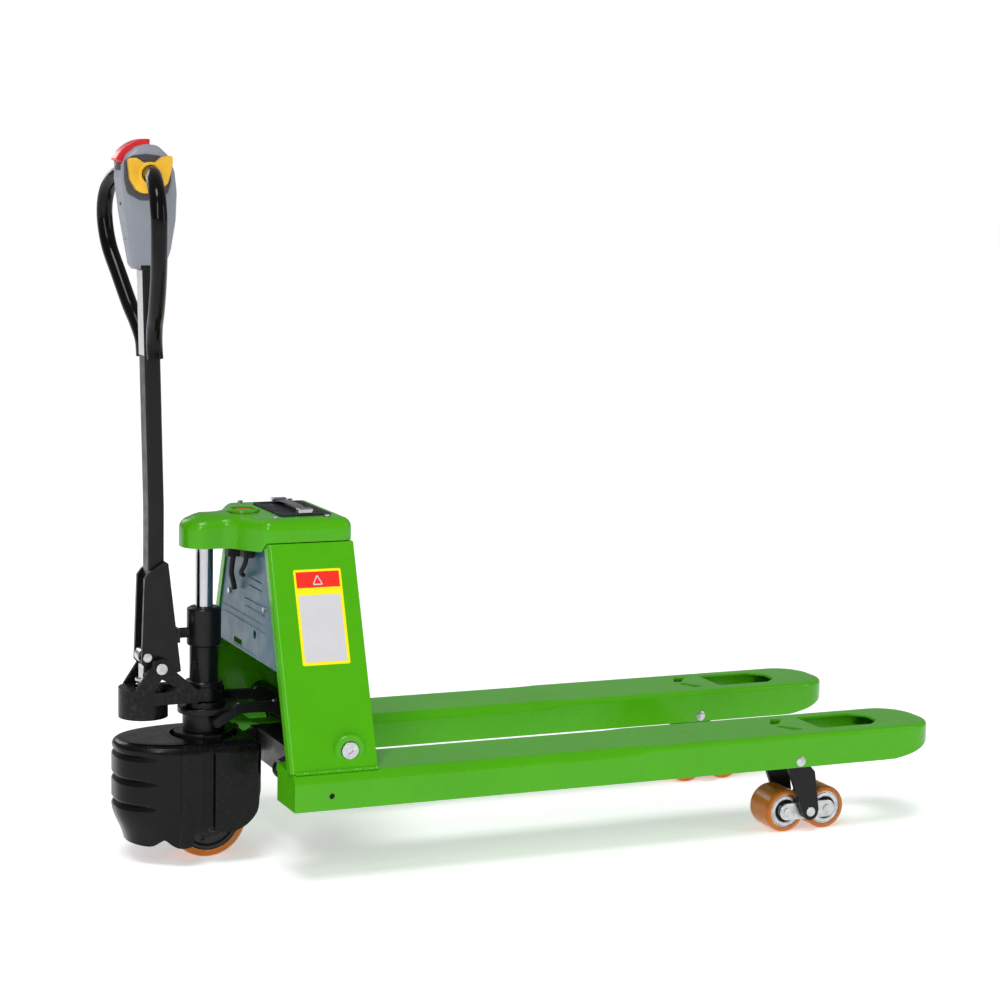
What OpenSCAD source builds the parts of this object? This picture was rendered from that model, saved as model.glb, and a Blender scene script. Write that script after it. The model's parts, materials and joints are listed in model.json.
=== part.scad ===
// Electric pallet truck, stored with its forks raised.
// +X runs from the steering axis to the fork tips, +Y is the operator's left, +Z is up.
// Lengths are in millimetres. Sections are drawn from the steering axis and the floor,
// then moved by origin_x so that the origin lies under the middle of the truck.

/* [Forks] */
// Outer width over both forks
truck_w = 550; // [520:10:690]
// Width of one fork
fork_w = 160; // [150:2:170]
// Distance from the steering axis to the fork tips
tip_x = 1352; // [1300:4:1420]
// Height of the fork tops when raised
fork_top = 196; // [190:1:205]
// Height of the fork undersides when raised
fork_low = 134; // [130:1:140]
// Sheet thickness of the forks
fork_t = 4; // [3:0.5:5]
// How far the forks can be lowered
lift_travel = 110; // [90:1:112]

/* [Tower] */
// Front edge of the side plates, from the steering axis
tower_x0 = 75; // [72:1:90]
// Rear edge of the side plates, from the steering axis
tower_x1 = 230; // [220:1:250]
// Top of the side plates
tower_top = 567; // [540:1:600]
// Half width of the tower at the top
tower_half_top = 125; // [115:1:135]
// Thickness of the side plates
plate_t = 5; // [4:0.5:8]

/* [Wheels] */
// Drive wheel radius
drive_r = 70; // [66:1:76]
// Drive wheel width
drive_w = 70; // [60:1:76]
// Load roller radius
roller_r = 40; // [36:0.5:41]
// Load roller width
roller_w = 68; // [60:1:70]
// Distance between the two rollers of a bogie
roller_pitch = 84; // [83:1:88]

/* [Lift linkage] */
// Position of the leg pivot along the truck
leg_x = 1053; // [1000:1:1080]
// Height of the leg pivot
leg_z = 145; // [142:1:150]
// Position of the rocker shaft along the truck
rocker_x = 182; // [170:1:195]
// Height of the rocker shaft
rocker_z = 229; // [222:1:236]
// Height of the push rods
rod_z = 175; // [172:0.5:177]

/* [Drive unit] */
// Radius of the ram
ram_r = 15.5; // [12:0.5:18]
// Radius of the hydraulic cylinder
cylinder_r = 25; // [22:1:28]
// Position of the tiller pivot, ahead of the steering axis
tiller_x = -88; // [-95:1:-80]
// Height of the tiller pivot
tiller_z = 345; // [335:1:350]

/* [Tiller] */
// Width of the tiller tube across the truck
tube_w = 40; // [34:1:44]
// Depth of the tiller tube along the truck
tube_d = 28; // [24:1:34]
// Radius of the handle loop tube
loop_r = 14; // [12:0.5:16]
// Half width over the centres of the handle loops
loop_half_w = 176; // [150:2:190]

/* [Hidden] */

front_x = -162;                        // foremost point of the truck
origin_x = (front_x + tip_x) / 2;
half_w = truck_w / 2;
fork_c = half_w - fork_w / 2;          // middle of a fork, from the centre plane
run_gap = 0.05;                        // radial clearance of a running fit
shoulder_drop = 12;                    // height of the folded shoulder of a fork
shoulder_run = 14;                     // width of the folded shoulder
shoulder_end = 700;                    // where the shoulder starts to fade out
tip_corner = 66;                       // plan radius of the fork tip corners
steer_clear = 190;                     // radius kept free round the steering axis
heel_plate_y = 181;                    // inner edge of the plate across the fork heel
heel_end = tower_x1 + 12;              // end of the part of a fork that lies under the tower
heel_seat = 0.3;                       // how much lower the fork top is there
pin_r = 10;                            // leg pivot pin
shaft_r = 15;                          // rocker shaft
lean_at = fork_top - 9;                // height where the side plates are widest
lean_half = half_w - 10;               // half width of the tower at that height
flange_w = 25;                         // width of the folded front edge of the side plates
bogie_x = leg_x + 41;                  // bogie pivot when raised
leg_swing = atan2(leg_z - roller_r, bogie_x - leg_x) + 2.5;
lever_swing = 18.5;                    // half swing of the rocker
lever_r = (rocker_z - rod_z) / cos(lever_swing);
lever_x = rocker_x + lever_r * sin(lever_swing);
rod_stroke = 2 * lever_r * sin(lever_swing);
ear_r = rod_stroke / (2 * sin(leg_swing / 2));    // leg lever that the push rod works
ear_x = leg_x + ear_r * sin(leg_swing / 2);
ear_z = leg_z + ear_r * cos(leg_swing / 2);
ear_peak = leg_z + ear_r;              // highest place of the lever's pin
rod_pin_r = 5.5;
nose_pin_x = 8;                        // where the rocker nose meets the collar
nose_pin_z = 246;
link_t = 6;                            // thickness of the bogie link plates
collar_z0 = 224;
collar_z1 = 277;
tyre_t = 14;                           // tread thickness of the drive wheel
ram_top = 568;
ram_grip = 41;                         // ram beyond its stroke when raised
plunger_x = tiller_x - 21;
plunger_top = 349;
cup_z = 255;                           // underside of the plunger cup
tube_x0 = -91;                         // middle of the tiller tube low down and at the head
tube_x1 = -102;
loop_end_x = -98;                      // where the loops meet the tube
loop_end_z = 878;
loop_root_z = 1190;
loop_root_x = -110;

green = [0.29, 0.69, 0.0];
black = [0.13, 0.13, 0.14];
steel = [0.72, 0.73, 0.75];
orange = [0.8, 0.42, 0.1];

// ---------- helpers ----------

// Move from the steering axis to the truck's own origin
module place() {
    translate([-origin_x, 0, 0]) children();
}

// Draw on both sides of the centre plane
module both() {
    children();
    mirror([0, 1, 0]) children();
}

// Cylinder along Y from y0 to y1, centred on (x, z)
module y_cyl(x, z, r, y0, y1) {
    translate([x, y0, z]) rotate([-90, 0, 0]) cylinder(r = r, h = y1 - y0, $fn = 64);
}

// Cylinder along X
module x_cyl(y, z, r, x0, x1) {
    translate([x0, y, z]) rotate([0, 90, 0]) cylinder(r = r, h = x1 - x0, $fn = 64);
}

// Cylinder along Z on the steering axis unless moved
module z_cyl(r, z0, z1, x = 0, y = 0) {
    translate([x, y, z0]) cylinder(r = r, h = z1 - z0, $fn = 64);
}

// Extrude a shape drawn in X and Z from y0 to y1
module xz_plate(y0, y1) {
    translate([0, y1, 0]) rotate([90, 0, 0]) linear_extrude(y1 - y0) children();
}

// Extrude a shape drawn in Y and Z from x0 to x1
module yz_plate(x0, x1) {
    translate([x0, 0, 0]) rotate([90, 0, 90]) linear_extrude(x1 - x0) children();
}

module box(x0, x1, y0, y1, z0, z1) {
    translate([x0, y0, z0]) cube([x1 - x0, y1 - y0, z1 - z0]);
}

// Bar with round ends from p to q
module bar2d(p, q, r) {
    d = q - p;
    n = r * [-d[1], d[0]] / norm(d);
    translate(p) circle(r = r, $fn = 48);
    translate(q) circle(r = r, $fn = 48);
    polygon([p + n, p - n, q - n, q + n]);
}

// Rectangle with round corners
module round_rect(x0, x1, y0, y1, r) {
    for (x = [x0 + r, x1 - r], y = [y0 + r, y1 - r]) translate([x, y]) circle(r = r, $fn = 48);
    translate([x0 + r, y0]) square([x1 - x0 - 2 * r, y1 - y0]);
    translate([x0, y0 + r]) square([x1 - x0, y1 - y0 - 2 * r]);
}

// Point on a smooth curve through the points p, at t from 0 to 1
function spline(p, t) =
    let (n = len(p) - 1, s = min(floor(t * n), n - 1), u = t * n - s,
        a = p[max(s - 1, 0)], b = p[s], c = p[s + 1], d = p[min(s + 2, n)])
    0.5 * (2 * b + (c - a) * u + (2 * a - 5 * b + 4 * c - d) * u * u
        + (3 * b - a - 3 * c + d) * u * u * u);
function unit(v) = v / norm(v);

// Round tube that follows the points p; ref is a direction that the route never takes
module sweep(p, r, rings, sides = 12, ref = [1, 0, 0]) {
    c = [for (i = [0:rings]) spline(p, i / rings)];
    dir = [for (i = [0:rings]) unit(c[min(i + 1, rings)] - c[max(i - 1, 0)])];
    pts = [for (i = [0:rings]) let (a = unit(cross(dir[i], ref)), b = cross(dir[i], a))
        for (k = [0:sides - 1]) c[i] + r * (cos(360 * k / sides) * a + sin(360 * k / sides) * b)];
    walls = [for (i = [0:rings - 1], k = [0:sides - 1])
        [i * sides + k, (i + 1) * sides + k, (i + 1) * sides + (k + 1) % sides, i * sides + (k + 1) % sides]];
    start = [[for (k = [0:sides - 1]) k]];
    end = [[for (k = [0:sides - 1]) rings * sides + sides - 1 - k]];
    polyhedron(pts, concat(walls, start, end));
}

// ---------- forks ----------

// Section of a fork, t inside the outer skin; the shoulder folds down by drop
module fork_section(t, drop, top = fork_top) {
    w = fork_w / 2 - t;
    fold = top - t - drop + t * 0.4;
    base = fork_low - (t > 0 ? 5 : 0);
    polygon([[-w, base], [-w, fold], [-w + shoulder_run, top - t], [w - shoulder_run, top - t],
        [w, fold], [w, base]]);
}

// Solid fork body, t inside the outer skin
module fork_solid(t) {
    flat_x = shoulder_end + 60;
    translate([0, fork_c, 0]) {
        yz_plate(tower_x0 + 2 + t, heel_end) fork_section(t, shoulder_drop, fork_top - heel_seat);
        yz_plate(heel_end, shoulder_end) fork_section(t, shoulder_drop);
        hull() {
            yz_plate(shoulder_end - 0.5, shoulder_end) fork_section(t, shoulder_drop);
            yz_plate(flat_x, flat_x + 0.5) fork_section(t, 2);
        }
        intersection() {
            yz_plate(flat_x + 0.5, tip_x) fork_section(t, 2);
            translate([0, 0, fork_low - 10]) linear_extrude(100) {
                translate([0, -fork_w / 2]) square([tip_x - tip_corner, fork_w]);
                round_rect(flat_x, tip_x - t, -fork_w / 2 + t, fork_w / 2 - t, tip_corner - t);
            }
        }
    }
}

// Cut under the nose of a fork, so that it rides over a pallet's boards
module nose_cut() {
    xz_plate(fork_c - fork_w, fork_c + fork_w)
        polygon([[1240, fork_low - 20], [1255, fork_low], [1280, fork_low + 5], [1300, fork_low + 14],
            [tip_x + 10, fork_low + 32], [tip_x + 10, fork_low - 20]]);
}

// Openings in the fork top: over the rollers, and two slots over the leg pivot
module top_openings() {
    translate([0, fork_c, fork_top - 30]) linear_extrude(60) {
        polygon([[1112, -46], [1222, -46], [1250, -20], [1250, 20], [1222, 46], [1112, 46]]);
        for (s = [0, 1]) mirror([0, s]) polygon([[1040, 8], [1052, 6], [1072, 42], [1062, 46]]);
    }
}

module fork_left_body() {
    color(green) difference() {
        fork_solid(0);
        fork_solid(fork_t);
        nose_cut();
        top_openings();
        z_cyl(steer_clear, fork_low - 20, fork_top + 20);
        box(rocker_x - 46, tower_x1 - 8, fork_c - 30, fork_c + 30, fork_top - 20, fork_top + 20);
        box(tower_x0, tower_x0 + 10, fork_c - 50, heel_plate_y, fork_low - 20, fork_top - shoulder_drop);
        y_cyl(leg_x, leg_z, pin_r, fork_c - fork_w, fork_c + fork_w);
        y_cyl(143, 158, 5, half_w - 10, half_w + 10);
    }
}

module fork_left() {
    place() fork_left_body();
}

module fork_right() {
    place() mirror([0, 1, 0]) fork_left_body();
}

// Sloped entry plates that close the underside of the fork noses
module nose_plates() {
    color(green) place() both() intersection() {
        fork_solid(fork_t + 0.2);
        difference() {
            xz_plate(fork_c - fork_w, fork_c + fork_w)
                polygon([[1262, fork_low], [1280, fork_low + 4], [1300, fork_low + 13],
                    [tip_x, fork_low + 28], [tip_x, fork_low + 34], [1300, fork_low + 19],
                    [1280, fork_low + 10], [1268, fork_low + 7.5], [1262, fork_low + 34],
                    [1258, fork_low + 34]]);
            nose_cut();
        }
    }
}

// ---------- tower ----------

// Half width of the tower's outer face at height z
function tower_half(z) =
    lean_half - (z - lean_at) * (lean_half - tower_half_top) / (tower_top - lean_at);

// Outline of the tower seen along the truck, inset by t
module tower_outline(t, z0, z1) {
    a = tower_half(z0) - t;
    b = tower_half(z1) - t;
    polygon([[-a, z0], [a, z0], [b, z1], [-b, z1]]);
}

module side_plates() {
    slant = sqrt(1 + pow((lean_half - tower_half_top) / (tower_top - lean_at), 2));
    color(green) place() difference() {
        union() {
            difference() {
                yz_plate(tower_x0, tower_x1) tower_outline(0, fork_top + 0.01, tower_top);
                yz_plate(tower_x0 - 1, tower_x1 + 1)
                    tower_outline(plate_t * slant, fork_top - 5, tower_top + 5);
            }
            difference() {
                yz_plate(tower_x0, tower_x0 + 2.7) tower_outline(0, fork_top + 0.01, tower_top);
                yz_plate(tower_x0 - 1, tower_x0 + 4)
                    tower_outline(flange_w * slant, fork_top - 5, tower_top + 5);
            }
            both() y_cyl(rocker_x, rocker_z, 27, tower_half(rocker_z) - 9, tower_half(rocker_z) + 4);
            both() box(tower_x0, tower_x0 + 5, tower_half(fork_top) - 16, tower_half(fork_top) - 8,
                fork_top + 0.01, fork_top + 12);
        }
        y_cyl(rocker_x, rocker_z, shaft_r, -half_w, half_w);
    }
}

module rear_plate() {
    color(green) place() yz_plate(tower_x1 - 5, tower_x1)
        tower_outline(6.2, fork_top + 0.3, tower_top);
}

// Fabricated member that ties the two fork heels together
module cross_member() {
    y1 = fork_c - fork_w / 2 - 0.2;
    color(black) place() difference() {
        union() {
            box(130, tower_x1 - 2, -y1, y1, 140, fork_top);
            both() xz_plate(y1 - 14, y1) {
                bar2d([112, 168], [140, fork_top - 18], 18);
                translate([122, 150]) square([80, fork_top - 150]);
            }
        }
        box(140, tower_x1 - 12, -y1 + 16, y1 - 16, 130, fork_top - 6);
        z_cyl(124, 120, 230);
        both() y_cyl(104, 180, 4, y1 - 20, y1 + 1);
    }
}

module head_plate() {
    color(green) place() difference() {
        union() {
            translate([0, 0, 557]) linear_extrude(8) {
                circle(r = 34, $fn = 64);
                translate([0, -34]) square([86, 68]);
                translate([84, -119]) square([tower_x1 - 92, 238]);
            }
            z_cyl(24, 565, 580);
        }
        z_cyl(ram_r, 550, ram_top);
        box(110, 208, -86, 86, 550, 570);
    }
}

module ram_rod() {
    color(steel) place() z_cyl(ram_r, ram_top - lift_travel - ram_grip, ram_top);
}

// Outline of the top cover in plan, grown by t
module cover_plan(t) {
    circle(r = 43 + t, $fn = 64);
    translate([0, -43 - t]) square([60, 86 + 2 * t]);
    polygon([[28, -43 - t], [50, -80 - t], [74, -121 - t], [74, 121 + t], [50, 80 + t], [28, 43 + t]]);
    round_rect(56, 233 + t, -123 - t, 123 + t, 14);
}

module top_cover() {
    color(green) place() difference() {
        union() {
            hull() {
                translate([0, 0, 550]) linear_extrude(1) intersection() {
                    cover_plan(0);
                    translate([-60, -60]) square([120, 120]);
                }
                translate([0, 0, 600]) linear_extrude(1) scale([0.9, 0.9]) circle(r = 36, $fn = 32);
                translate([40, -50, 606]) cube([40, 100, 1]);
            }
            hull() {
                translate([0, 0, tower_top + 1]) linear_extrude(14) intersection() {
                    cover_plan(0);
                    translate([40, -150]) square([250, 300]);
                }
                translate([62, -108, 608]) cube([140, 216, 1]);
                translate([55, -100, 596]) cube([165, 200, 1]);
            }
        }
        hull() {
            translate([0, 0, 549]) linear_extrude(1) circle(r = 39, $fn = 32);
            translate([0, 0, 596]) linear_extrude(1) circle(r = 28, $fn = 32);
            translate([50, -38, 549]) cube([10, 76, 50]);
        }
        box(49, 218, -112, 112, 549, 596);
        box(112, 206, -85, 85, 590, 620);
        z_cyl(21, 590, 620, 70, 0);
    }
}

module front_panel() {
    z0 = 342;
    z1 = 556;
    color([0.31, 0.47, 0.55]) place() difference() {
        yz_plate(78, 81) intersection() {
            tower_outline(6, z0 - 20, z1);
            polygon([[-160, z0 + 12], [160, z0 + 12], [160, z1], [-160, z1]]);
        }
        x_cyl(-38, 398, 9, 70, 90);
        yz_plate(70, 90) round_rect(66, 92, 362, 372, 4);
    }
}

module controller() {
    color(black) place() {
        box(84, 106, -62, 62, 392, 520);
        for (i = [0:7]) box(81.5, 84, -56 + 15 * i, -50 + 15 * i, 400, 512);
    }
}

module battery_tray() {
    color(black) place() difference() {
        box(110, 210, -88, 88, 354, 400);
        box(113, 207, -85, 85, 358, 410);
    }
}

module rocker_shaft() {
    reach = tower_half(rocker_z) + 6;
    color(steel) place() difference() {
        y_cyl(rocker_x, rocker_z, shaft_r, -reach, reach);
        both() y_cyl(rocker_x, rocker_z, 5, reach - 3, reach + 1);
    }
}

module leg_pins() {
    color(steel) place() both() {
        y_cyl(leg_x, leg_z, pin_r, half_w - fork_w - 3, half_w + 1.5);
        for (y = [half_w, half_w - fork_w - 1.5]) difference() {
            y_cyl(leg_x, leg_z, 13, y, y + 1.5);
            y_cyl(leg_x, leg_z, pin_r, y - 1, y + 3);
        }
    }
}

// Label sheets on the side plates
module side_labels() {
    color([0.95, 0.8, 0.1]) place() both() intersection() {
        translate([115, 0, 368]) cube([86, half_w, 156]);
        difference() {
            yz_plate(100, 220) tower_outline(-0.8, 340, 540);
            yz_plate(90, 230) tower_outline(0, 330, 550);
        }
    }
}

// Cap screws of the cover and the front panel
module fasteners() {
    color(steel) place() {
        for (x = [96, 190], s = [-1, 1]) translate([x, s * 100, 609.01]) difference() {
            cylinder(r = 5, h = 3, $fn = 32);
            translate([0, 0, 1.5]) cylinder(r = 2.5, h = 3, $fn = 6);
        }
        for (y = [-100, 100]) x_cyl(y, 520 - abs(y) * 0.1 - 60, 5, 75, 78);
    }
}

// Plug and lead of the control wiring, between the cover and the panel
module harness() {
    color(black) place() {
        sweep([[60, 20, 530], [58, 22, 516], [60, 34, 495], [66, 44, 478], [70, 46, 462]],
            5, 16, 8, [0, 1, 0]);
        box(46, 70, 4, 34, 527, 556);
        box(58, 77, -48, -18, 532, 556);
    }
}

module estop_ring() {
    color(green) place() difference() {
        z_cyl(29, 609.01, 614, 70, 0);
        z_cyl(21, 600, 620, 70, 0);
    }
}

module estop_button() {
    color("crimson") place() {
        z_cyl(9, 583, 604, 70, 0);
        z_cyl(19, 604, 611, 70, 0);
        z_cyl(12, 611, 612.5, 70, 0);
    }
}

// ---------- battery ----------

module battery_case() {
    color([0.2, 0.2, 0.22]) place() {
        box(116, 202, -81, 81, 358.5, 598);
        for (i = [0:4]) box(114.5, 116, -66 + 28 * i, -54 + 28 * i, 410, 570);
    }
}

module battery_lid() {
    color(black) place() translate([0, 0, 598]) linear_extrude(13)
        round_rect(113, 205, -84, 84, 5);
}

// Webbing strap that lies flat over the lid
module carry_strap() {
    color([0.1, 0.1, 0.1]) place() {
        box(149, 169, -66, 66, 617, 620);
        both() box(149, 169, 63, 66, 613.4, 617);
    }
}

module strap_brackets() {
    color(steel) place() both() difference() {
        translate([0, 0, 611]) linear_extrude(8.5) round_rect(145, 173, 56, 78, 3);
        box(148.5, 169.5, 50, 70, 613, 625);
    }
}

// ---------- lift linkage ----------

module thrust_collar() {
    color([0.25, 0.25, 0.27]) place() difference() {
        union() {
            z_cyl(37, collar_z0, collar_z1);
            translate([0, 0, 256]) linear_extrude(11) {
                circle(r = 46, $fn = 64);
                translate([0, -46]) square([66, 92]);
            }
        }
        z_cyl(22 + run_gap, collar_z0 - 1, collar_z1 + 1);
    }
}

module rocker_arm() {
    sleeve = 232;
    color(black) place() difference() {
        union() {
            y_cyl(rocker_x, rocker_z, 22, -sleeve, sleeve);
            both() xz_plate(48, 60) {
                bar2d([nose_pin_x, nose_pin_z], [50, 270], 8);
                bar2d([50, 270], [120, 268], 9);
                bar2d([120, 268], [rocker_x, rocker_z], 14);
            }
            both() y_cyl(nose_pin_x, nose_pin_z, 7, 39, 48.01);
            both() for (y = [fork_c - 16, fork_c + 8]) xz_plate(y, y + 8)
                bar2d([rocker_x, rocker_z], [lever_x, rod_z], 11);
            both() y_cyl(lever_x, rod_z, rod_pin_r, fork_c - 9, fork_c + 9);
        }
        y_cyl(rocker_x, rocker_z, shaft_r + run_gap, -half_w, half_w);
    }
}

// Rod with a slotted eye at each end
module push_rod_one() {
    eye = rod_pin_r + 0.9;
    difference() {
        union() {
            x_cyl(fork_c, rod_z, 8, lever_x + 6, ear_x - 6);
            xz_plate(fork_c - 5, fork_c + 5) {
                bar2d([lever_x, rod_z - 3], [lever_x, rod_z + 1], 12);
                translate([lever_x, rod_z - 8]) square([26, 16]);
            }
            xz_plate(fork_c - 11, fork_c + 11) {
                bar2d([ear_x, ear_z], [ear_x, ear_peak - 1], 10);
                translate([ear_x - 34, rod_z - 8]) square([34, 16]);
            }
        }
        box(ear_x - 24, ear_x + 20, fork_c - 5.5, fork_c + 5.5, rod_z - 20, rod_z + 20);
        xz_plate(fork_c - 20, fork_c + 20) {
            bar2d([lever_x, rod_z - 3.6], [lever_x, rod_z], eye);
            bar2d([ear_x, ear_z], [ear_x, ear_peak], eye);
        }
    }
}

module push_rods() {
    color([0.45, 0.46, 0.48]) place() both() push_rod_one();
}

// Welded leg: two cheeks on a sleeve, and the lever that the rod works
module leg_one() {
    cheek = roller_w / 2 + link_t + 5;
    difference() {
        union() {
            y_cyl(leg_x, leg_z, 14.5, fork_c - 66, fork_c + 66);
            for (s = [-1, 1]) xz_plate(fork_c + s * (cheek + 4) - 4, fork_c + s * (cheek + 4) + 4) {
                bar2d([leg_x, leg_z], [bogie_x, roller_r], 16);
                polygon([[leg_x - 15, leg_z], [leg_x + 14, leg_z + 6], [leg_x + 47, leg_z - 29],
                    [bogie_x + 17, roller_r + 2], [bogie_x - 16, roller_r + 2], [leg_x - 6, leg_z - 29]]);
            }
            xz_plate(fork_c - 5, fork_c + 5) bar2d([leg_x, leg_z], [ear_x, ear_z], 9);
            y_cyl(ear_x, ear_z, rod_pin_r, fork_c - 11, fork_c + 11);
        }
        y_cyl(leg_x, leg_z, pin_r + run_gap, 0, half_w + 10);
        y_cyl(bogie_x, roller_r, 9 + run_gap, 0, half_w + 10);
    }
}

module legs() {
    color(black) place() both() leg_one();
}

module link_plates() {
    near = roller_w / 2 + 1;
    color(steel) place() both() for (s = [-1, 1]) difference() {
        xz_plate(fork_c + s * (near + link_t / 2) - link_t / 2, fork_c + s * (near + link_t / 2) + link_t / 2)
            bar2d([bogie_x - roller_pitch / 2, roller_r], [bogie_x + roller_pitch / 2, roller_r], 20);
        for (x = [-roller_pitch / 2, roller_pitch / 2])
            y_cyl(bogie_x + x, roller_r, 8, fork_c - 60, fork_c + 60);
        y_cyl(bogie_x, roller_r, 9, fork_c - 60, fork_c + 60);
    }
}

// Roller axles and the two pivot stubs of each bogie
module roller_axles() {
    reach = roller_w / 2 + 1 + link_t;
    color(steel) place() both() {
        for (x = [-roller_pitch / 2, roller_pitch / 2])
            y_cyl(bogie_x + x, roller_r, 8, fork_c - reach - 1.5, fork_c + reach + 1.5);
        y_cyl(bogie_x, roller_r, 9, fork_c - reach - 13, fork_c - reach + link_t);
        y_cyl(bogie_x, roller_r, 9, fork_c + reach - link_t, fork_c + reach + 13);
    }
}

module roller_tyre(x, side) {
    color(orange) place() mirror([0, side, 0]) difference() {
        union() {
            y_cyl(x, roller_r, roller_r, fork_c - roller_w / 2 + 3, fork_c + roller_w / 2 - 3);
            y_cyl(x, roller_r, roller_r - 2.5, fork_c - roller_w / 2, fork_c + roller_w / 2);
        }
        y_cyl(x, roller_r, roller_r - 9, 0, half_w);
    }
}

module roller_hub(x, side) {
    color(steel) place() mirror([0, side, 0]) difference() {
        y_cyl(x, roller_r, roller_r - 9, fork_c - roller_w / 2, fork_c + roller_w / 2);
        y_cyl(x, roller_r, 8 + run_gap, 0, half_w);
        for (y = [fork_c - roller_w / 2, fork_c + roller_w / 2])
            y_cyl(x, roller_r, 19, y - 1.5, y + 1.5);
    }
}

front_axle = bogie_x + roller_pitch / 2;
rear_axle = bogie_x - roller_pitch / 2;
module tyre_front_right() roller_tyre(front_axle, 1);
module hub_front_right() roller_hub(front_axle, 1);
module tyre_rear_right() roller_tyre(rear_axle, 1);
module hub_rear_right() roller_hub(rear_axle, 1);
module tyre_front_left() roller_tyre(front_axle, 0);
module hub_front_left() roller_hub(front_axle, 0);
module tyre_rear_left() roller_tyre(rear_axle, 0);
module hub_rear_left() roller_hub(rear_axle, 0);

// ---------- drive unit ----------

module wheel_fork() {
    leg_y = drive_w / 2 + 12;
    color(black) place() difference() {
        union() {
            z_cyl(52, 212, 223.5);
            z_cyl(22, 223, 280);
            both() xz_plate(leg_y, leg_y + 10) {
                bar2d([0, drive_r], [0, 205], 15);
                translate([-15, 190]) square([30, 33]);
                translate([0, drive_r]) circle(r = 26, $fn = 48);
            }
            both() box(-15, 15, 30, leg_y + 10, 212, 223.5);
        }
        y_cyl(0, drive_r, 12, -100, 100);
    }
}

module drive_axle() {
    leg_y = drive_w / 2 + 12;
    color(steel) place() {
        y_cyl(0, drive_r, 12, -leg_y - 18, leg_y + 18);
        both() difference() {
            translate([0, leg_y + 10.02, drive_r]) rotate([-90, 0, 0]) cylinder(r = 18, h = 10, $fn = 6);
            y_cyl(0, drive_r, 12, 0, 100);
        }
    }
}

module drive_tyre() {
    color(orange) place() difference() {
        union() {
            y_cyl(0, drive_r, drive_r, -drive_w / 2 + 4, drive_w / 2 - 4);
            y_cyl(0, drive_r, drive_r - 4, -drive_w / 2, drive_w / 2);
        }
        y_cyl(0, drive_r, drive_r - tyre_t, -drive_w, drive_w);
    }
}

// Hub motor that carries the tread
module drive_hub() {
    color([0.16, 0.16, 0.17]) place() difference() {
        union() {
            y_cyl(0, drive_r, drive_r - tyre_t, -drive_w / 2, drive_w / 2);
            y_cyl(0, drive_r, 27, -drive_w / 2 - 9, drive_w / 2 + 9);
        }
        y_cyl(0, drive_r, 12 + run_gap, -drive_w, drive_w);
        both() difference() {
            y_cyl(0, drive_r, 48, drive_w / 2 - 4, drive_w / 2 + 1);
            y_cyl(0, drive_r, 33, drive_w / 2 - 5, drive_w / 2 + 2);
        }
    }
}

// Plan of the wheel cover, t inside its outer face
module shroud_plan(t) {
    steps = 20;
    half = 95 - t;
    nose = [for (i = [0:steps]) let (a = 90 + 90 * i / steps)
        [-8 + (154 - t) * cos(a), half * pow(sin(a), 0.78)]];
    tail = [for (i = [0:6]) let (a = 90 * i / 6) [67 + (12 - t) * sin(a), 83 + (12 - t) * cos(a)]];
    side = concat([for (i = [0:steps]) nose[steps - i]], tail);
    last = len(side) - 1;
    polygon(concat(side, [for (i = [0:last]) [side[last - i][0], -side[last - i][1]]]));
}

// Hollow cover body between x0 and x1
module shroud(x0, x1) {
    difference() {
        intersection() {
            translate([0, 0, 34]) linear_extrude(184) shroud_plan(0);
            box(x0, x1, -200, 200, 0, 300);
            xz_plate(-120, 120) polygon([[-170, 60], [-150, 36], [-108, 34], [-92, 50], [-70, 34],
                [-42, 34], [-39, 68], [-5, 62], [24, 59], [47, 67], [64, 82], [72, 95], [80, 125],
                [82, 214], [-4, 216], [-60, 218], [-145, 218], [-170, 190]]);
        }
        translate([0, 0, 30]) linear_extrude(183) shroud_plan(4);
        z_cyl(60, 200, 230);
    }
}

module cover_nose() {
    color(black) place() shroud(-170, -66.5);
}

module cover_flanks() {
    color(black) place() difference() {
        shroud(-66, 82);
        both() box(-30, -6, 92.5, 120, 0, 204);
        box(60, 90, -48, 48, 20, 213);
    }
}

module pump_casting() {
    color([0.17, 0.17, 0.18]) place() difference() {
        union() {
            z_cyl(36, 280.5, 304);
            z_cyl(43, cup_z, 307, plunger_x, 0);
            box(-80, -10, -34, 34, 281, 303);
            both() xz_plate(35, 43) difference() {
                union() {
                    bar2d([tiller_x, tiller_z], [-118, 300], 17);
                    bar2d([tiller_x, tiller_z], [-28, 292], 12);
                    bar2d([-118, 292], [-28, 292], 11);
                }
                polygon([[-87, 326], [-110, 303], [-50, 303]]);
            }
            both() xz_plate(20, 43) bar2d([-110, 290], [-30, 290], 9);
        }
        z_cyl(16, cup_z + 4, 310, plunger_x, 0);
        z_cyl(22, 270, 290);
        y_cyl(tiller_x, tiller_z, 8, -60, 60);
    }
}

module cylinder_body() {
    color([0.1, 0.1, 0.11]) place() difference() {
        union() {
            z_cyl(cylinder_r, 304.01, 375);
            z_cyl(33, 304.01, 312);
        }
        z_cyl(ram_r + run_gap, 306, 380);
    }
}

module gland_collar() {
    color(black) place() difference() {
        union() {
            z_cyl(30, 375.01, 441);
            z_cyl(27, 441, 443);
        }
        z_cyl(ram_r + run_gap, 370, 450);
        x_cyl(0, 398, 9, -40, -26);
    }
}

module stop_buffer() {
    color(black) place() x_cyl(0, 398, 9, -50, -26);
}

module tiller_pin() {
    color(steel) place() {
        y_cyl(tiller_x, tiller_z, 8, -46, 46);
        for (s = [-1, 1]) y_cyl(tiller_x, tiller_z, 10, s * 45 - 2, s * 45 + 2);
    }
}

module plunger() {
    color(steel) place() {
        z_cyl(8, 312, plunger_top, plunger_x, 0);
        z_cyl(14, 318, 323, plunger_x, 0);
    }
}

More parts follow.
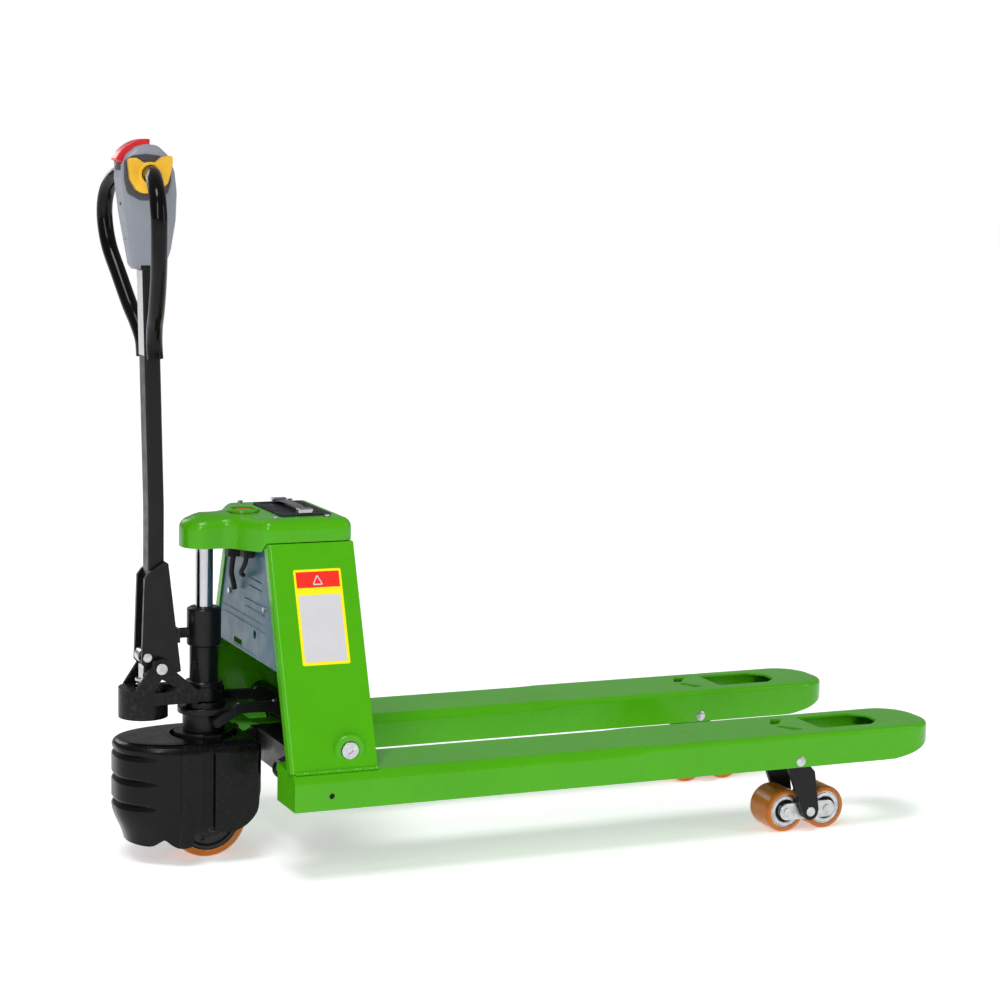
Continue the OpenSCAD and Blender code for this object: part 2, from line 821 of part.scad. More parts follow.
// Return spring of the plunger, drawn as its sleeve
module plunger_spring() {
    color([0.6, 0.6, 0.62]) place() difference() {
        z_cyl(13, cup_z + 4.5, 317.5, plunger_x, 0);
        z_cyl(10, cup_z, 320, plunger_x, 0);
    }
}

// ---------- tiller ----------

module tiller_bracket() {
    color([0.17, 0.17, 0.18]) place() difference() {
        union() {
            both() xz_plate(tube_w / 2 + 0.3, tube_w / 2 + 8) {
                polygon([[-119, 352], [-114, 501], [-106, 512], [-78, 530], [-72, 526], [-49, 336],
                    [-58, 333], [-86, 330], [-104, 340]]);
                translate([tiller_x, tiller_z]) circle(r = 16, $fn = 48);
                translate([-104, 358]) circle(r = 15, $fn = 48);
            }
            box(-66, -60, -tube_w / 2 - 0.4, tube_w / 2 + 0.4, 384, 412);
            box(-56.5, -50.6, -tube_w / 2 - 8, tube_w / 2 + 8, 386, 410);
            box(-62, -54, -tube_w / 2 - 0.4, tube_w / 2 + 0.4, 388, 408);
        }
        y_cyl(tiller_x, tiller_z, 8 + run_gap, -60, 60);
        y_cyl(tiller_x - 21, tiller_z + 18, 5, -60, 60);
    }
}

// Side outline of the tiller tube, t inside its faces
module tube_outline(t) {
    d = tube_d / 2 - t;
    polygon([[tube_x0 - d, 420 + t], [tube_x0 - d, 625], [tube_x1 - d, 1036 - t], [tube_x1 + d, 1036 - t],
        [tube_x0 + d, 625], [tube_x0 + d, 420 + t]]);
}

module tiller_tube() {
    color([0.22, 0.22, 0.24]) place() difference() {
        xz_plate(-tube_w / 2, tube_w / 2) tube_outline(0);
        xz_plate(-tube_w / 2 + 3, tube_w / 2 - 3) tube_outline(3);
    }
}

// Roller that presses on the plunger, with its pin
module pump_roller() {
    color(steel) place() {
        y_cyl(tiller_x - 21, tiller_z + 18, 13, -12, 12);
        y_cyl(tiller_x - 21, tiller_z + 18, 5, -31, 31);
        y_cyl(tiller_x - 21, tiller_z + 18, 8, 28.2, 31);
        y_cyl(tiller_x - 21, tiller_z + 18, 8, -31, -28.2);
    }
}

// Route of one handle loop, from the head out and down to the tube
function loop_route(s) = [[loop_root_x, 34 * s, loop_root_z], [-113, 70 * s, loop_root_z],
    [-124, 118 * s, 1186], [-130, 160 * s, 1160], [-131, loop_half_w * s, 1118],
    [-127, 163 * s, 1066], [-118, 126 * s, 1014], [-110, 86 * s, 965], [-105, 58 * s, 938],
    [-100, 37 * s, 908], [loop_end_x, 35.5 * s, loop_end_z + 2]];

module handle_loops() {
    color(black) place() {
        for (s = [-1, 1]) {
            sweep(loop_route(s), loop_r, 44, 16);
            difference() {
                y_cyl(loop_end_x, loop_end_z, loop_r, s > 0 ? 20.3 : -36, s > 0 ? 36 : -20.3);
                xz_plate(-20.2, 20.2) tube_outline(-1);
            }
        }
        y_cyl(loop_root_x, loop_root_z, loop_r, -34.5, 34.5);
    }
}

// Side outline of the control head
module head_outline(t) {
    offset(delta = -t) polygon([[-127, 1030], [-133, 1036], [-147, 1125], [-154, 1185], [-153, 1204],
        [-145, 1222], [-129, 1236], [-108, 1242], [-88, 1237], [-72, 1222], [-62, 1195], [-58, 1160],
        [-59, 1112], [-66, 1060], [-74, 1038], [-84, 1030]]);
}

module head_solid(t) {
    intersection() {
        xz_plate(-40, 40) head_outline(t);
        yz_plate(-200, 0) polygon([[-21 + t, 1020], [-33 + t, 1150], [-33 + t, 1215], [-22 + t, 1250],
            [22 - t, 1250], [33 - t, 1215], [33 - t, 1150], [21 - t, 1020]]);
    }
}

module control_head() {
    color([0.65, 0.68, 0.72]) place() difference() {
        head_solid(0);
        head_solid(3);
        y_cyl(loop_root_x, loop_root_z, 21.5, -50, 50);
        box(tube_x1 - tube_d / 2 - 1, tube_x1 + tube_d / 2 + 1, -20.6, 20.6, 1020, 1040);
        box(-200, -95, -18.5, 18.5, 1194, 1260);
    }
}

// Dark grip inserts and the cap screws on the head
module head_inlays() {
    color([0.3, 0.31, 0.33]) place() {
        for (p = [[-148, 1140], [-138.5, 1082]]) x_cyl(0, p[1], 3, p[0] - 2, p[0] + 4);
    }
}

module throttle() {
    color([0.98, 0.78, 0.23]) place() difference() {
        union() {
            y_cyl(loop_root_x, loop_root_z, 20.5, -52, 52);
            both() xz_plate(36, 50)
                polygon([[-148, 1216], [-134, 1217], [-120, 1208], [-103, 1208], [-90, 1219], [-72, 1222],
                    [-72, 1207], [-80, 1176], [-90, 1166], [-122, 1157], [-134, 1164], [-144, 1181]]);
        }
        y_cyl(loop_root_x, loop_root_z, loop_r + 1.6, -60, 60);
    }
}

module belly_button() {
    color([0.85, 0.1, 0.15]) place() xz_plate(-18, 18) intersection() {
        difference() {
            translate([-106, 1187]) circle(r = 62, $fn = 96);
            translate([-106, 1187]) circle(r = 46, $fn = 96);
        }
        polygon([[-106, 1187], [front_x, 1213], [front_x, 1290], [-102, 1290]]);
    }
}

fork_right();
fork_left();
nose_plates();
side_plates();
rear_plate();
cross_member();
head_plate();
ram_rod();
top_cover();
front_panel();
controller();
battery_tray();
rocker_shaft();
leg_pins();
side_labels();
fasteners();
harness();
estop_ring();
estop_button();
battery_case();
battery_lid();
carry_strap();
strap_brackets();
thrust_collar();
rocker_arm();
push_rods();
legs();
link_plates();
roller_axles();
tyre_front_right();
hub_front_right();
tyre_rear_right();
hub_rear_right();
tyre_front_left();
hub_front_left();
tyre_rear_left();
hub_rear_left();
wheel_fork();
drive_axle();
drive_tyre();
drive_hub();
cover_nose();
cover_flanks();
pump_casting();
cylinder_body();  // cylinder
gland_collar();
stop_buffer();
tiller_pin();
plunger();
plunger_spring();
tiller_bracket();
tiller_tube();
pump_roller();
handle_loops();
control_head();
head_inlays();
throttle();
belly_button();
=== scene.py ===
"""Looks of an electric pallet truck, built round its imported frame.

Shapes are drawn in millimetres: X from the steering axis towards the fork tips, Y from the centre
plane and Z from the floor. new_piece() turns them into the frame's metres.
"""
import json
import math

import bmesh
import bpy
from mathutils import Matrix, Vector


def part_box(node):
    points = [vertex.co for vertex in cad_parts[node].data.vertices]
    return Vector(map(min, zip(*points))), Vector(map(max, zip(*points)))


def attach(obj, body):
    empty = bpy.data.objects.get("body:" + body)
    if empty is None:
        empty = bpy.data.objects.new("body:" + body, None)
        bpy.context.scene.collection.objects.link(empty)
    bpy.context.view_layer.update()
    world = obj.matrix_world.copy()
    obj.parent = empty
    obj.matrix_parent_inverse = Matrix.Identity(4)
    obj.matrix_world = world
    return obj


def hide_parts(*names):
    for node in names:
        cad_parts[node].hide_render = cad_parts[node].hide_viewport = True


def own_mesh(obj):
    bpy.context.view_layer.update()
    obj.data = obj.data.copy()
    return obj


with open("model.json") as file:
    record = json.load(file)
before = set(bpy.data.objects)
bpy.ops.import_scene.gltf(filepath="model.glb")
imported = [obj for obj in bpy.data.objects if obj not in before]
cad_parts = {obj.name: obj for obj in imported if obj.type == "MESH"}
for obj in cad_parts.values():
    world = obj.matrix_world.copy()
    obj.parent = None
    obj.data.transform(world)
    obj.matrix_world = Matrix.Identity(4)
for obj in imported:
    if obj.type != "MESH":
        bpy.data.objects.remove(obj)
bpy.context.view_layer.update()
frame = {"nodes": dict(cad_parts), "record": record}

MM = 0.001
AXIS = Vector(((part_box("ram_rod")[0].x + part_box("ram_rod")[1].x) / 2, 0, 0))
TO_FRAME = Matrix.Translation(AXIS) @ Matrix.Scale(MM, 4)


def span(node):
    """Lowest and highest corner of a CAD node, in millimetres from the steering axis."""
    lo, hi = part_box(node)
    return (lo - AXIS) / MM, (hi - AXIS) / MM


def middle(node):
    """Centre of a CAD node's box."""
    lo, hi = span(node)
    return (lo + hi) / 2


# ---------- shapes ----------

def mix(a, b, t):
    return a + (b - a) * t


def ease(value, lo, hi):
    """0 below lo, 1 above hi and smooth between."""
    t = min(max((value - lo) / (hi - lo), 0.0), 1.0)
    return t * t * (3 - 2 * t)


def rounded(points, radius=0.0, steps=5, closed=True):
    """Outline with round corners. A point may bring its own radius as a third number."""
    out = []
    for i, point in enumerate(points):
        corner = Vector(point[:2])
        r = point[2] if len(point) > 2 else radius
        if r <= 0 or (not closed and i in (0, len(points) - 1)):
            out.append(corner)
            continue
        back = Vector(points[i - 1][:2]) - corner
        ahead = Vector(points[(i + 1) % len(points)][:2]) - corner
        half = back.angle(ahead) / 2
        reach = min(r / math.tan(half), 0.49 * back.length, 0.49 * ahead.length)
        r = reach * math.tan(half)
        centre = corner + (back.normalized() + ahead.normalized()).normalized() * (r / math.sin(half))
        start = corner + back.normalized() * reach - centre
        end = corner + ahead.normalized() * reach - centre
        turn = math.atan2(start.x * end.y - start.y * end.x, start.dot(end))
        for k in range(steps + 1):
            out.append(centre + Matrix.Rotation(turn * k / steps, 2) @ start)
    return out


def circle(u, v, r, steps=48, start=0.0):
    """Outline of a circle round (u, v)."""
    angles = [start + 2 * math.pi * k / steps for k in range(steps)]
    return [Vector((u + r * math.cos(a), v + r * math.sin(a))) for a in angles]


def bar(p, q, r, steps=12):
    """Outline of a bar with round ends from p to q."""
    p, q = Vector(p), Vector(q)
    lead = math.atan2(q.y - p.y, q.x - p.x)
    out = []
    for end, first in ((q, lead - math.pi / 2), (p, lead + math.pi / 2)):
        for k in range(steps + 1):
            a = first + math.pi * k / steps
            out.append(end + r * Vector((math.cos(a), math.sin(a))))
    return out


def spot(axis, u, v, w):
    """Point (u, v) of an outline, at w along the axis that the outline stands across."""
    return {"x": (w, u, v), "y": (u, w, v), "z": (u, v, w)}[axis]


def loft(bm, rings, closed=True, caps=True):
    """Skin over rings that have the same number of points."""
    rows = [[bm.verts.new(p) for p in ring] for ring in rings]
    count = len(rows[0])
    for a, b in zip(rows, rows[1:]):
        for i in range(count if closed else count - 1):
            bm.faces.new((a[i], a[(i + 1) % count], b[(i + 1) % count], b[i]))
    if caps:
        bm.faces.new(rows[0][::-1])
        bm.faces.new(rows[-1])
    return rows


def prism(bm, outline, axis, lo, hi):
    """Straight block over an outline."""
    loft(bm, [[spot(axis, p[0], p[1], w) for p in outline] for w in (lo, hi)])


def block(bm, lo, hi):
    """Box between two corners."""
    prism(bm, [(lo[0], lo[1]), (hi[0], lo[1]), (hi[0], hi[1]), (lo[0], hi[1])], "z", lo[2], hi[2])


def lathe(bm, profile, axis, u, v, steps=64):
    """Turned shape: profile points are (place along the axis, radius); a closed profile leaves a bore."""
    rings = []
    for along, r in profile:
        rings.append([spot(axis, p.x, p.y, along) for p in circle(u, v, max(r, 0.02), steps)])
    loft(bm, rings, caps=profile[0] != profile[-1])


def through(points, steps):
    """Smooth route through points, with steps places on each stretch."""
    points = [Vector(p) for p in points]
    route = []
    for i in range(len(points) - 1):
        a, b, c, d = points[max(i - 1, 0)], points[i], points[i + 1], points[min(i + 2, len(points) - 1)]
        for k in range(steps):
            t = k / steps
            bend = (2 * a - 5 * b + 4 * c - d) * t * t + (3 * b - a - 3 * c + d) * t ** 3
            route.append(0.5 * (2 * b + (c - a) * t + bend))
    return route + [points[-1]]


def tube(bm, route, radius, sides=24, squeeze=1.0):
    """Round tube along a route; squeeze flattens it across its first normal."""
    rings = []
    normal = None
    for i, place in enumerate(route):
        ahead = (route[min(i + 1, len(route) - 1)] - route[max(i - 1, 0)]).normalized()
        if normal is None:
            normal = ahead.orthogonal().normalized()
        normal = (normal - ahead * normal.dot(ahead)).normalized()
        other = ahead.cross(normal)
        r = radius(i / (len(route) - 1)) if callable(radius) else radius
        angles = [2 * math.pi * k / sides for k in range(sides)]
        rings.append([place + r * (math.cos(a) * squeeze * normal + math.sin(a) * other) for a in angles])
    loft(bm, rings)


# ---------- pieces ----------

def shade(obj, angle=35):
    """Smooth faces with sharp edges where they turn by more than the angle."""
    obj.data.polygons.foreach_set("use_smooth", [True] * len(obj.data.polygons))
    obj.data.set_sharp_from_angle(angle=math.radians(angle))


def soften(obj, width, segments=3, angle=32):
    """Round off the sharp edges, width in millimetres."""
    edge = obj.modifiers.new("edges", "BEVEL")
    edge.width = width * MM
    edge.segments = segments
    edge.limit_method = "ANGLE"
    edge.angle_limit = math.radians(angle)
    edge.harden_normals = True
    edge.miter_outer = "MITER_ARC"


def even_normals(obj):
    """Keep flat faces flat beside their round edges."""
    normals = obj.modifiers.new("normals", "WEIGHTED_NORMAL")
    normals.keep_sharp = True
    normals.weight = 80


def bake(obj):
    """Apply every modifier."""
    bpy.context.view_layer.update()
    graph = bpy.context.evaluated_depsgraph_get()
    mesh = bpy.data.meshes.new_from_object(obj.evaluated_get(graph))
    obj.modifiers.clear()
    obj.data = mesh


def raw_object(name, bm):
    """Object of a mesh drawn in millimetres."""
    bmesh.ops.remove_doubles(bm, verts=bm.verts, dist=0.005)
    bmesh.ops.recalc_face_normals(bm, faces=bm.faces)
    bmesh.ops.transform(bm, matrix=TO_FRAME, verts=bm.verts)
    mesh = bpy.data.meshes.new(name)
    bm.to_mesh(mesh)
    bm.free()
    obj = bpy.data.objects.new(name, mesh)
    bpy.context.scene.collection.objects.link(obj)
    return obj


def cut(obj, *cutters):
    """Take shapes away from an object."""
    tools = [raw_object(f"{obj.name}_cutter", bm) for bm in cutters]
    for tool in tools:
        step = obj.modifiers.new("cut", "BOOLEAN")
        step.operation = "DIFFERENCE"
        step.solver = "EXACT"
        step.object = tool
    bake(obj)
    for tool in tools:
        bpy.data.objects.remove(tool)


def finish_piece(obj, material, body, replaces=(), bevel=0.0, segments=3, angle=35):
    """Shade a piece, give it its material and let it ride on its body."""
    obj.data.materials.clear()
    obj.data.materials.append(material)
    shade(obj, angle)
    if bevel > 0:
        soften(obj, bevel, segments, angle)
    even_normals(obj)
    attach(obj, body)
    if replaces:
        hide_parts(*replaces)
    return obj


def new_piece(name, bm, material, body, replaces=(), bevel=0.0, segments=3, angle=35, cutters=()):
    """Piece from a mesh drawn in millimetres."""
    obj = raw_object(name, bm)
    if cutters:
        cut(obj, *cutters)
    return finish_piece(obj, material, body, replaces, bevel, segments, angle)


def mirrored(bm, draw):
    """Draw a shape on both sides; draw(bm, side) takes +1 and -1."""
    for side in (1, -1):
        draw(bm, side)


def cutter(draw, *args):
    """Mesh to take away, drawn by one shape function."""
    bm = bmesh.new()
    draw(bm, *args)
    return bm


# ---------- materials ----------

class Finish:
    """Principled material with the nodes that its detail needs."""

    def __init__(self, name, colour, roughness, metallic=0.0, coat=0.0, coat_roughness=0.06, specular=0.22):
        self.material = bpy.data.materials.new(name)
        self.material.use_nodes = True
        self.tree = self.material.node_tree
        self.shader = self.tree.nodes["Principled BSDF"]
        self.place = self.node("ShaderNodeTexCoord").outputs["Object"]
        self.colour = None
        self.height = None
        self.rough = None
        self.base = (*colour, 1.0)
        self.shader.inputs["Base Color"].default_value = self.base
        self.shader.inputs["Roughness"].default_value = roughness
        self.shader.inputs["Metallic"].default_value = metallic
        self.shader.inputs["Specular IOR Level"].default_value = specular
        self.shader.inputs["Coat Weight"].default_value = coat
        self.shader.inputs["Coat Roughness"].default_value = coat_roughness
        self.roughness = roughness

    def node(self, kind, **inputs):
        made = self.tree.nodes.new(kind)
        for key, value in inputs.items():
            self.feed(made.inputs[key.replace("_", " ")], value)
        return made

    def feed(self, socket, value):
        if isinstance(value, bpy.types.NodeSocket):
            self.tree.links.new(value, socket)
        else:
            socket.default_value = value

    def noise(self, scale, detail=3.0, stretch=(1, 1, 1)):
        """Noise of scale features a metre, from 0 to 1."""
        moved = self.node("ShaderNodeMapping", Vector=self.place, Scale=stretch)
        made = self.node("ShaderNodeTexNoise", Vector=moved.outputs[0], Scale=scale, Detail=detail)
        return made.outputs["Fac"]

    def ramp(self, value, lo, hi, out_lo=0.0, out_hi=1.0):
        made = self.node("ShaderNodeMapRange", Value=value, From_Min=lo, From_Max=hi,
                         To_Min=out_lo, To_Max=out_hi)
        made.clamp = True
        return made.outputs[0]

    def maths(self, operation, a, b):
        made = self.tree.nodes.new("ShaderNodeMath")
        made.operation = operation
        self.feed(made.inputs[0], a)
        self.feed(made.inputs[1], b)
        return made.outputs[0]

    def blend_colour(self, share, colour):
        """Lay a colour over what is there, by the share."""
        made = self.tree.nodes.new("ShaderNodeMix")
        made.data_type = "RGBA"
        self.feed(made.inputs[0], share)
        self.feed(made.inputs[6], self.colour or self.base)
        self.feed(made.inputs[7], colour if isinstance(colour, bpy.types.NodeSocket) else (*colour, 1.0))
        self.colour = made.outputs[2]

    def tint(self, amount, scale=7.0):
        """Slow change of tone over the surface."""
        dark = [c * (1 - amount) for c in self.base[:3]]
        self.blend_colour(self.ramp(self.noise(scale), 0.3, 0.7), dark)

    def smudge(self, amount, scale=40.0):
        """Handling marks that change the gloss."""
        lo, hi = self.roughness - amount, self.roughness + amount
        self.rough = self.ramp(self.noise(scale, 5.0), 0.35, 0.65, lo, hi)

    def bump(self, height, depth):
        """Add relief of a depth in millimetres."""
        scaled = self.maths("MULTIPLY", height, depth * MM)
        self.height = scaled if self.height is None else self.maths("ADD", self.height, scaled)

    def grain(self, scale, depth, detail=2.0, stretch=(1, 1, 1)):
        self.bump(self.noise(scale, detail, stretch), depth)

    def wear(self, colour, amount, rough=0.5):
        """Scuffed edges: convex places show another tone in patches."""
        geometry = self.node("ShaderNodeNewGeometry")
        convex = self.ramp(geometry.outputs["Pointiness"], 0.53, 0.62)
        patches = self.ramp(self.noise(160.0, 4.0), 0.5, 0.72, 0.0, amount)
        share = self.maths("MULTIPLY", convex, patches)
        self.blend_colour(share, colour)
        if self.rough is not None:
            made = self.tree.nodes.new("ShaderNodeMix")
            self.feed(made.inputs[0], share)
            self.feed(made.inputs[2], self.rough)
            self.feed(made.inputs[3], rough)
            self.rough = made.outputs[0]

    def done(self):
        if self.colour is not None:
            self.feed(self.shader.inputs["Base Color"], self.colour)
        if self.rough is not None:
            self.feed(self.shader.inputs["Roughness"], self.rough)
        if self.height is not None:
            relief = self.node("ShaderNodeBump", Height=self.height, Strength=1.0, Distance=1.0)
            self.feed(self.shader.inputs["Normal"], relief.outputs[0])
        return self.material


def green_paint():
    finish = Finish("green_paint", (0.07, 0.40, 0.001), 0.26, coat=0.14)
    finish.tint(0.08)
    finish.smudge(0.05)
    finish.grain(420.0, 0.012)
    finish.grain(30.0, 0.05)
    finish.wear((0.16, 0.5, 0.03), 0.35)
    return finish.done()


def black_paint():
    finish = Finish("black_paint", (0.006, 0.006, 0.007), 0.34, coat=0.05, coat_roughness=0.1)
    finish.tint(0.3)
    finish.smudge(0.07)
    finish.grain(500.0, 0.015)
    finish.wear((0.06, 0.06, 0.065), 0.4)
    return finish.done()


def cast_black():
    finish = Finish("cast_black", (0.0035, 0.0035, 0.0042), 0.32, coat=0.05, coat_roughness=0.12,
                    specular=0.18)
    finish.tint(0.3)
    finish.smudge(0.08)
    finish.grain(260.0, 0.09, 5.0)
    finish.wear((0.05, 0.05, 0.055), 0.35)
    return finish.done()


def panel_paint():
    finish = Finish("panel_paint", (0.038, 0.12, 0.18), 0.36, coat=0.08, coat_roughness=0.15)
    finish.tint(0.12)
    finish.smudge(0.06)
    finish.grain(450.0, 0.015)
    finish.wear((0.25, 0.34, 0.4), 0.5)
    return finish.done()


def zinc_steel():
    finish = Finish("zinc_steel", (0.62, 0.63, 0.65), 0.3, metallic=1.0)
    finish.tint(0.25, 60.0)
    finish.smudge(0.1, 120.0)
    finish.grain(700.0, 0.02)
    finish.wear((0.8, 0.8, 0.8), 0.5, 0.2)
    return finish.done()


def rod_steel():
    finish = Finish("rod_steel", (0.3, 0.3, 0.31), 0.38, metallic=1.0)
    finish.tint(0.35, 30.0)
    finish.smudge(0.1, 90.0)
    finish.grain(900.0, 0.03, stretch=(0.05, 1, 1))
    return finish.done()


def chrome():
    finish = Finish("chrome", (0.5, 0.51, 0.54), 0.16, metallic=1.0)
    finish.tint(0.06, 20.0)
    finish.smudge(0.04, 60.0)
    finish.grain(1500.0, 0.004, stretch=(0.1, 0.1, 1))
    return finish.done()


def cover_plastic():
    finish = Finish("cover_plastic", (0.003, 0.003, 0.0034), 0.24, coat=0.04, coat_roughness=0.1,
                    specular=0.16)
    finish.tint(0.25)
    finish.smudge(0.06)
    finish.grain(650.0, 0.02, 3.0)
    finish.wear((0.03, 0.03, 0.032), 0.2)
    return finish.done()


def matte_black():
    finish = Finish("matte_black", (0.017, 0.018, 0.02), 0.55)
    finish.tint(0.3)
    finish.smudge(0.08)
    finish.grain(800.0, 0.05, 3.0)
    finish.wear((0.08, 0.08, 0.085), 0.5)
    return finish.done()


def grip_vinyl():
    finish = Finish("grip_vinyl", (0.002, 0.002, 0.0022), 0.16, coat=0.03, coat_roughness=0.06, specular=0.16)
    finish.tint(0.2)
    finish.smudge(0.06, 70.0)
    finish.grain(350.0, 0.02)
    finish.grain(40.0, 0.1)
    return finish.done()


def polyurethane():
    finish = Finish("polyurethane", (0.60, 0.17, 0.012), 0.3, coat=0.2, coat_roughness=0.15)
    finish.shader.inputs["Subsurface Weight"].default_value = 0.15
    finish.shader.inputs["Subsurface Radius"].default_value = (0.006, 0.002, 0.0005)
    finish.tint(0.22, 25.0)
    finish.smudge(0.1, 80.0)
    finish.grain(300.0, 0.04, 4.0)
    finish.wear((0.75, 0.36, 0.12), 0.6)
    return finish.done()


def hub_black():
    finish = Finish("hub_black", (0.02, 0.02, 0.022), 0.45, coat=0.2, coat_roughness=0.2)
    finish.tint(0.3)
    finish.smudge(0.08)
    finish.grain(300.0, 0.06, 4.0)
    finish.wear((0.12, 0.12, 0.13), 0.6)
    return finish.done()


def head_plastic(name, colour):
    finish = Finish(name, colour, 0.38, coat=0.12, coat_roughness=0.25)
    finish.tint(0.08)
    finish.smudge(0.06)
    finish.grain(900.0, 0.03, 3.0)
    finish.wear([c * 1.4 for c in colour], 0.3)
    return finish.done()


def glossy_plastic(name, colour, subsurface=0.08):
    finish = Finish(name, colour, 0.28, coat=0.25, coat_roughness=0.1)
    finish.shader.inputs["Subsurface Weight"].default_value = subsurface
    finish.shader.inputs["Subsurface Radius"].default_value = (0.004, 0.002, 0.001)
    finish.tint(0.12, 30.0)
    finish.smudge(0.06)
    finish.grain(500.0, 0.015)
    finish.wear([min(c * 1.3 + 0.03, 1.0) for c in colour], 0.4)
    return finish.done()


def webbing():
    finish = Finish("webbing", (0.016, 0.016, 0.018), 0.75)
    finish.shader.inputs["Sheen Weight"].default_value = 0.4
    for direction in ("X", "Y"):
        wave = finish.node("ShaderNodeTexWave", Vector=finish.place, Scale=260.0, Distortion=0.6)
        wave.bands_direction = direction
        finish.bump(wave.outputs["Fac"], 0.12)
    finish.tint(0.4, 300.0)
    return finish.done()


def printed_film(name, colour):
    finish = Finish(name, colour, 0.3, coat=0.1, coat_roughness=0.08)
    finish.tint(0.04, 20.0)
    finish.smudge(0.05)
    finish.grain(260.0, 0.01)
    return finish.done()


def rubber():
    finish = Finish("rubber", (0.013, 0.013, 0.013), 0.62)
    finish.tint(0.3, 50.0)
    finish.smudge(0.1)
    finish.grain(500.0, 0.06, 4.0)
    return finish.done()


GREEN = green_paint()
BLACK = black_paint()
CAST = cast_black()
PANEL = panel_paint()
ZINC = zinc_steel()
ROD = rod_steel()
CHROME = chrome()
COVER = cover_plastic()
MATTE = matte_black()
GRIP = grip_vinyl()
PU = polyurethane()
HUB = hub_black()
HEAD = head_plastic("head_grey", (0.27, 0.29, 0.335))
HEAD_DARK = head_plastic("head_dark", (0.07, 0.075, 0.085))
YELLOW = glossy_plastic("yellow_plastic", (0.93, 0.53, 0.04))
RED = glossy_plastic("red_plastic", (0.72, 0.02, 0.03))
WEBBING = webbing()
RUBBER = rubber()
WHITE_FILM = printed_film("white_film", (0.62, 0.61, 0.63))
YELLOW_FILM = printed_film("yellow_film", (0.95, 0.82, 0.01))
RED_FILM = printed_film("red_film", (0.85, 0.03, 0.02))


def dress_frame():
    """Give each CAD node that stays the finish of its material slot and soft edges; the drive axle gets the
    hub's black instead, as painted shade in its recess.
    """
    by_slot = {
        "green_paint": GREEN, "black_paint": BLACK, "black_casting": CAST, "panel_paint": PANEL,
        "zinc_steel": ZINC, "rod_steel": ROD, "chrome": CHROME, "black_plastic": COVER,
        "matte_black": MATTE, "grip_black": GRIP, "polyurethane": PU, "hub_black": HUB,
        "head_grey": HEAD, "head_dark": HEAD_DARK, "yellow_plastic": YELLOW, "red_plastic": RED,
        "strap": WEBBING, "label": YELLOW_FILM, "rubber": RUBBER,
    }
    widths = {
        "pump_casting": 2.6, "tiller_bracket": 1.5, "rocker_arm": 2.0, "legs": 1.4, "thrust_collar": 1.5,
        "wheel_fork": 1.5, "cross_member": 2.0, "rear_plate": 0.5, "battery_case": 2.0, "controller": 1.5,
    }
    for row in frame["record"]["subparts"]:
        obj = frame["nodes"][row["node"]]
        obj.data.materials.clear()
        # The drive axle's end sits at the bottom of the strut recess: it takes the hub's black instead of its
        # own metal, as painted shade there.
        obj.data.materials.append(HUB if row["node"] == "drive_axle" else by_slot[row["material_slot"]])
        weld = obj.modifiers.new("weld", "WELD")
        weld.merge_threshold = 0.01 * MM
        flat = obj.modifiers.new("flat", "DECIMATE")
        flat.decimate_type = "DISSOLVE"
        flat.angle_limit = math.radians(1.0)
        soften(obj, widths.get(row["node"], 0.8))
        even_normals(obj)


# ---------- forks and tower ----------

FORK_HALF = 80.0
FORK_MIDDLE = 195.0
FORK_TOP = 196.0
FORK_LOW = 134.0
TIP_CORNER = 66.0
SHAFT_X = 182.0
SHAFT_Z = 229.0
LEG_X = 1053.0
LEG_Z = 145.0
SIDE_SHEET = 6.5
ESTOP_X = 70.0


def fork_drop(x):
    """How far the folded shoulder of a fork falls."""
    return mix(12.0, 2.0, ease(x, 700, 760))


def fork_low(x):
    """Underside of a fork: it rises towards the tip."""
    return FORK_LOW + 29.0 * max((x - 1250) / 102, 0.0) ** 1.45


def fork_wall(x, inner):
    """Section of the skin at x: (distance from the edge, height), bottom first."""
    t = 4.0 if inner else 0.0
    fall = fork_drop(x) - (t * 0.4 if inner else 0.0)
    corner = 4.0 if inner else 8.0
    return rounded([(t, fork_low(x)), (t, FORK_TOP - t - fall, corner), (14 + t * 0.5, FORK_TOP - t, 12),
                    (27, FORK_TOP - t)], steps=6, closed=False)


def fork_ring(index, inner, tip):
    """One closed line round the fork, at a fixed place of the wall section."""
    start = span("fork_left")[0].x
    stations = [start, 120, 150, 230, 330, 450, 600, 690, 700, 712, 724, 736, 748, 760, 900, 1090,
                1230, 1255, 1262, 1270, 1280, tip - TIP_CORNER]
    side = []
    for x in stations:
        d, z = fork_wall(x, inner)[index]
        away = d if inner else d * 0.12
        side.append((max(x, start + min(away, 4.0)), FORK_HALF - d, z))
    for k in range(1, 17):
        a = math.pi / 2 * k / 16
        edge_x = tip - TIP_CORNER + TIP_CORNER * math.sin(a)
        d, z = fork_wall(edge_x, inner)[index]
        reach = TIP_CORNER - d
        side.append((tip - TIP_CORNER + reach * math.sin(a), FORK_HALF - TIP_CORNER + reach * math.cos(a), z))
    return side + [(x, -y, z) for x, y, z in side[::-1]]


def fork_cutters(side):
    """Openings of a fork: bay over the rollers, slots, heel arc and heel openings."""
    middle_y = side * FORK_MIDDLE
    bay = rounded([(1112, -46), (1222, -46), (1250, -20), (1250, 20), (1222, 46), (1112, 46)], 7)
    tools = [cutter(prism, [(p[0], p[1] + middle_y) for p in bay], "z", 170, 220)]
    for s in (1, -1):
        slot = rounded([(1037, 9 * s), (1052, 5 * s), (1079, 41 * s), (1058, 48 * s)], 3)
        tools.append(cutter(prism, [(p[0], p[1] + middle_y) for p in slot], "z", 170, 220))
    tools.append(cutter(prism, circle(0, 0, 190, 96), "z", 100, 220))
    lo, hi = sorted((side * 145, side * 181))
    tools.append(cutter(block, (60, lo, 100), (90, hi, 184)))
    lo, hi = sorted((side * 165, side * 225))
    tools.append(cutter(block, (136, lo, 180), (222, hi, 220)))
    lo, hi = sorted((side * 262, side * 290))
    tools.append(cutter(prism, circle(143, 158, 5, 24), "y", lo, hi))
    return tools


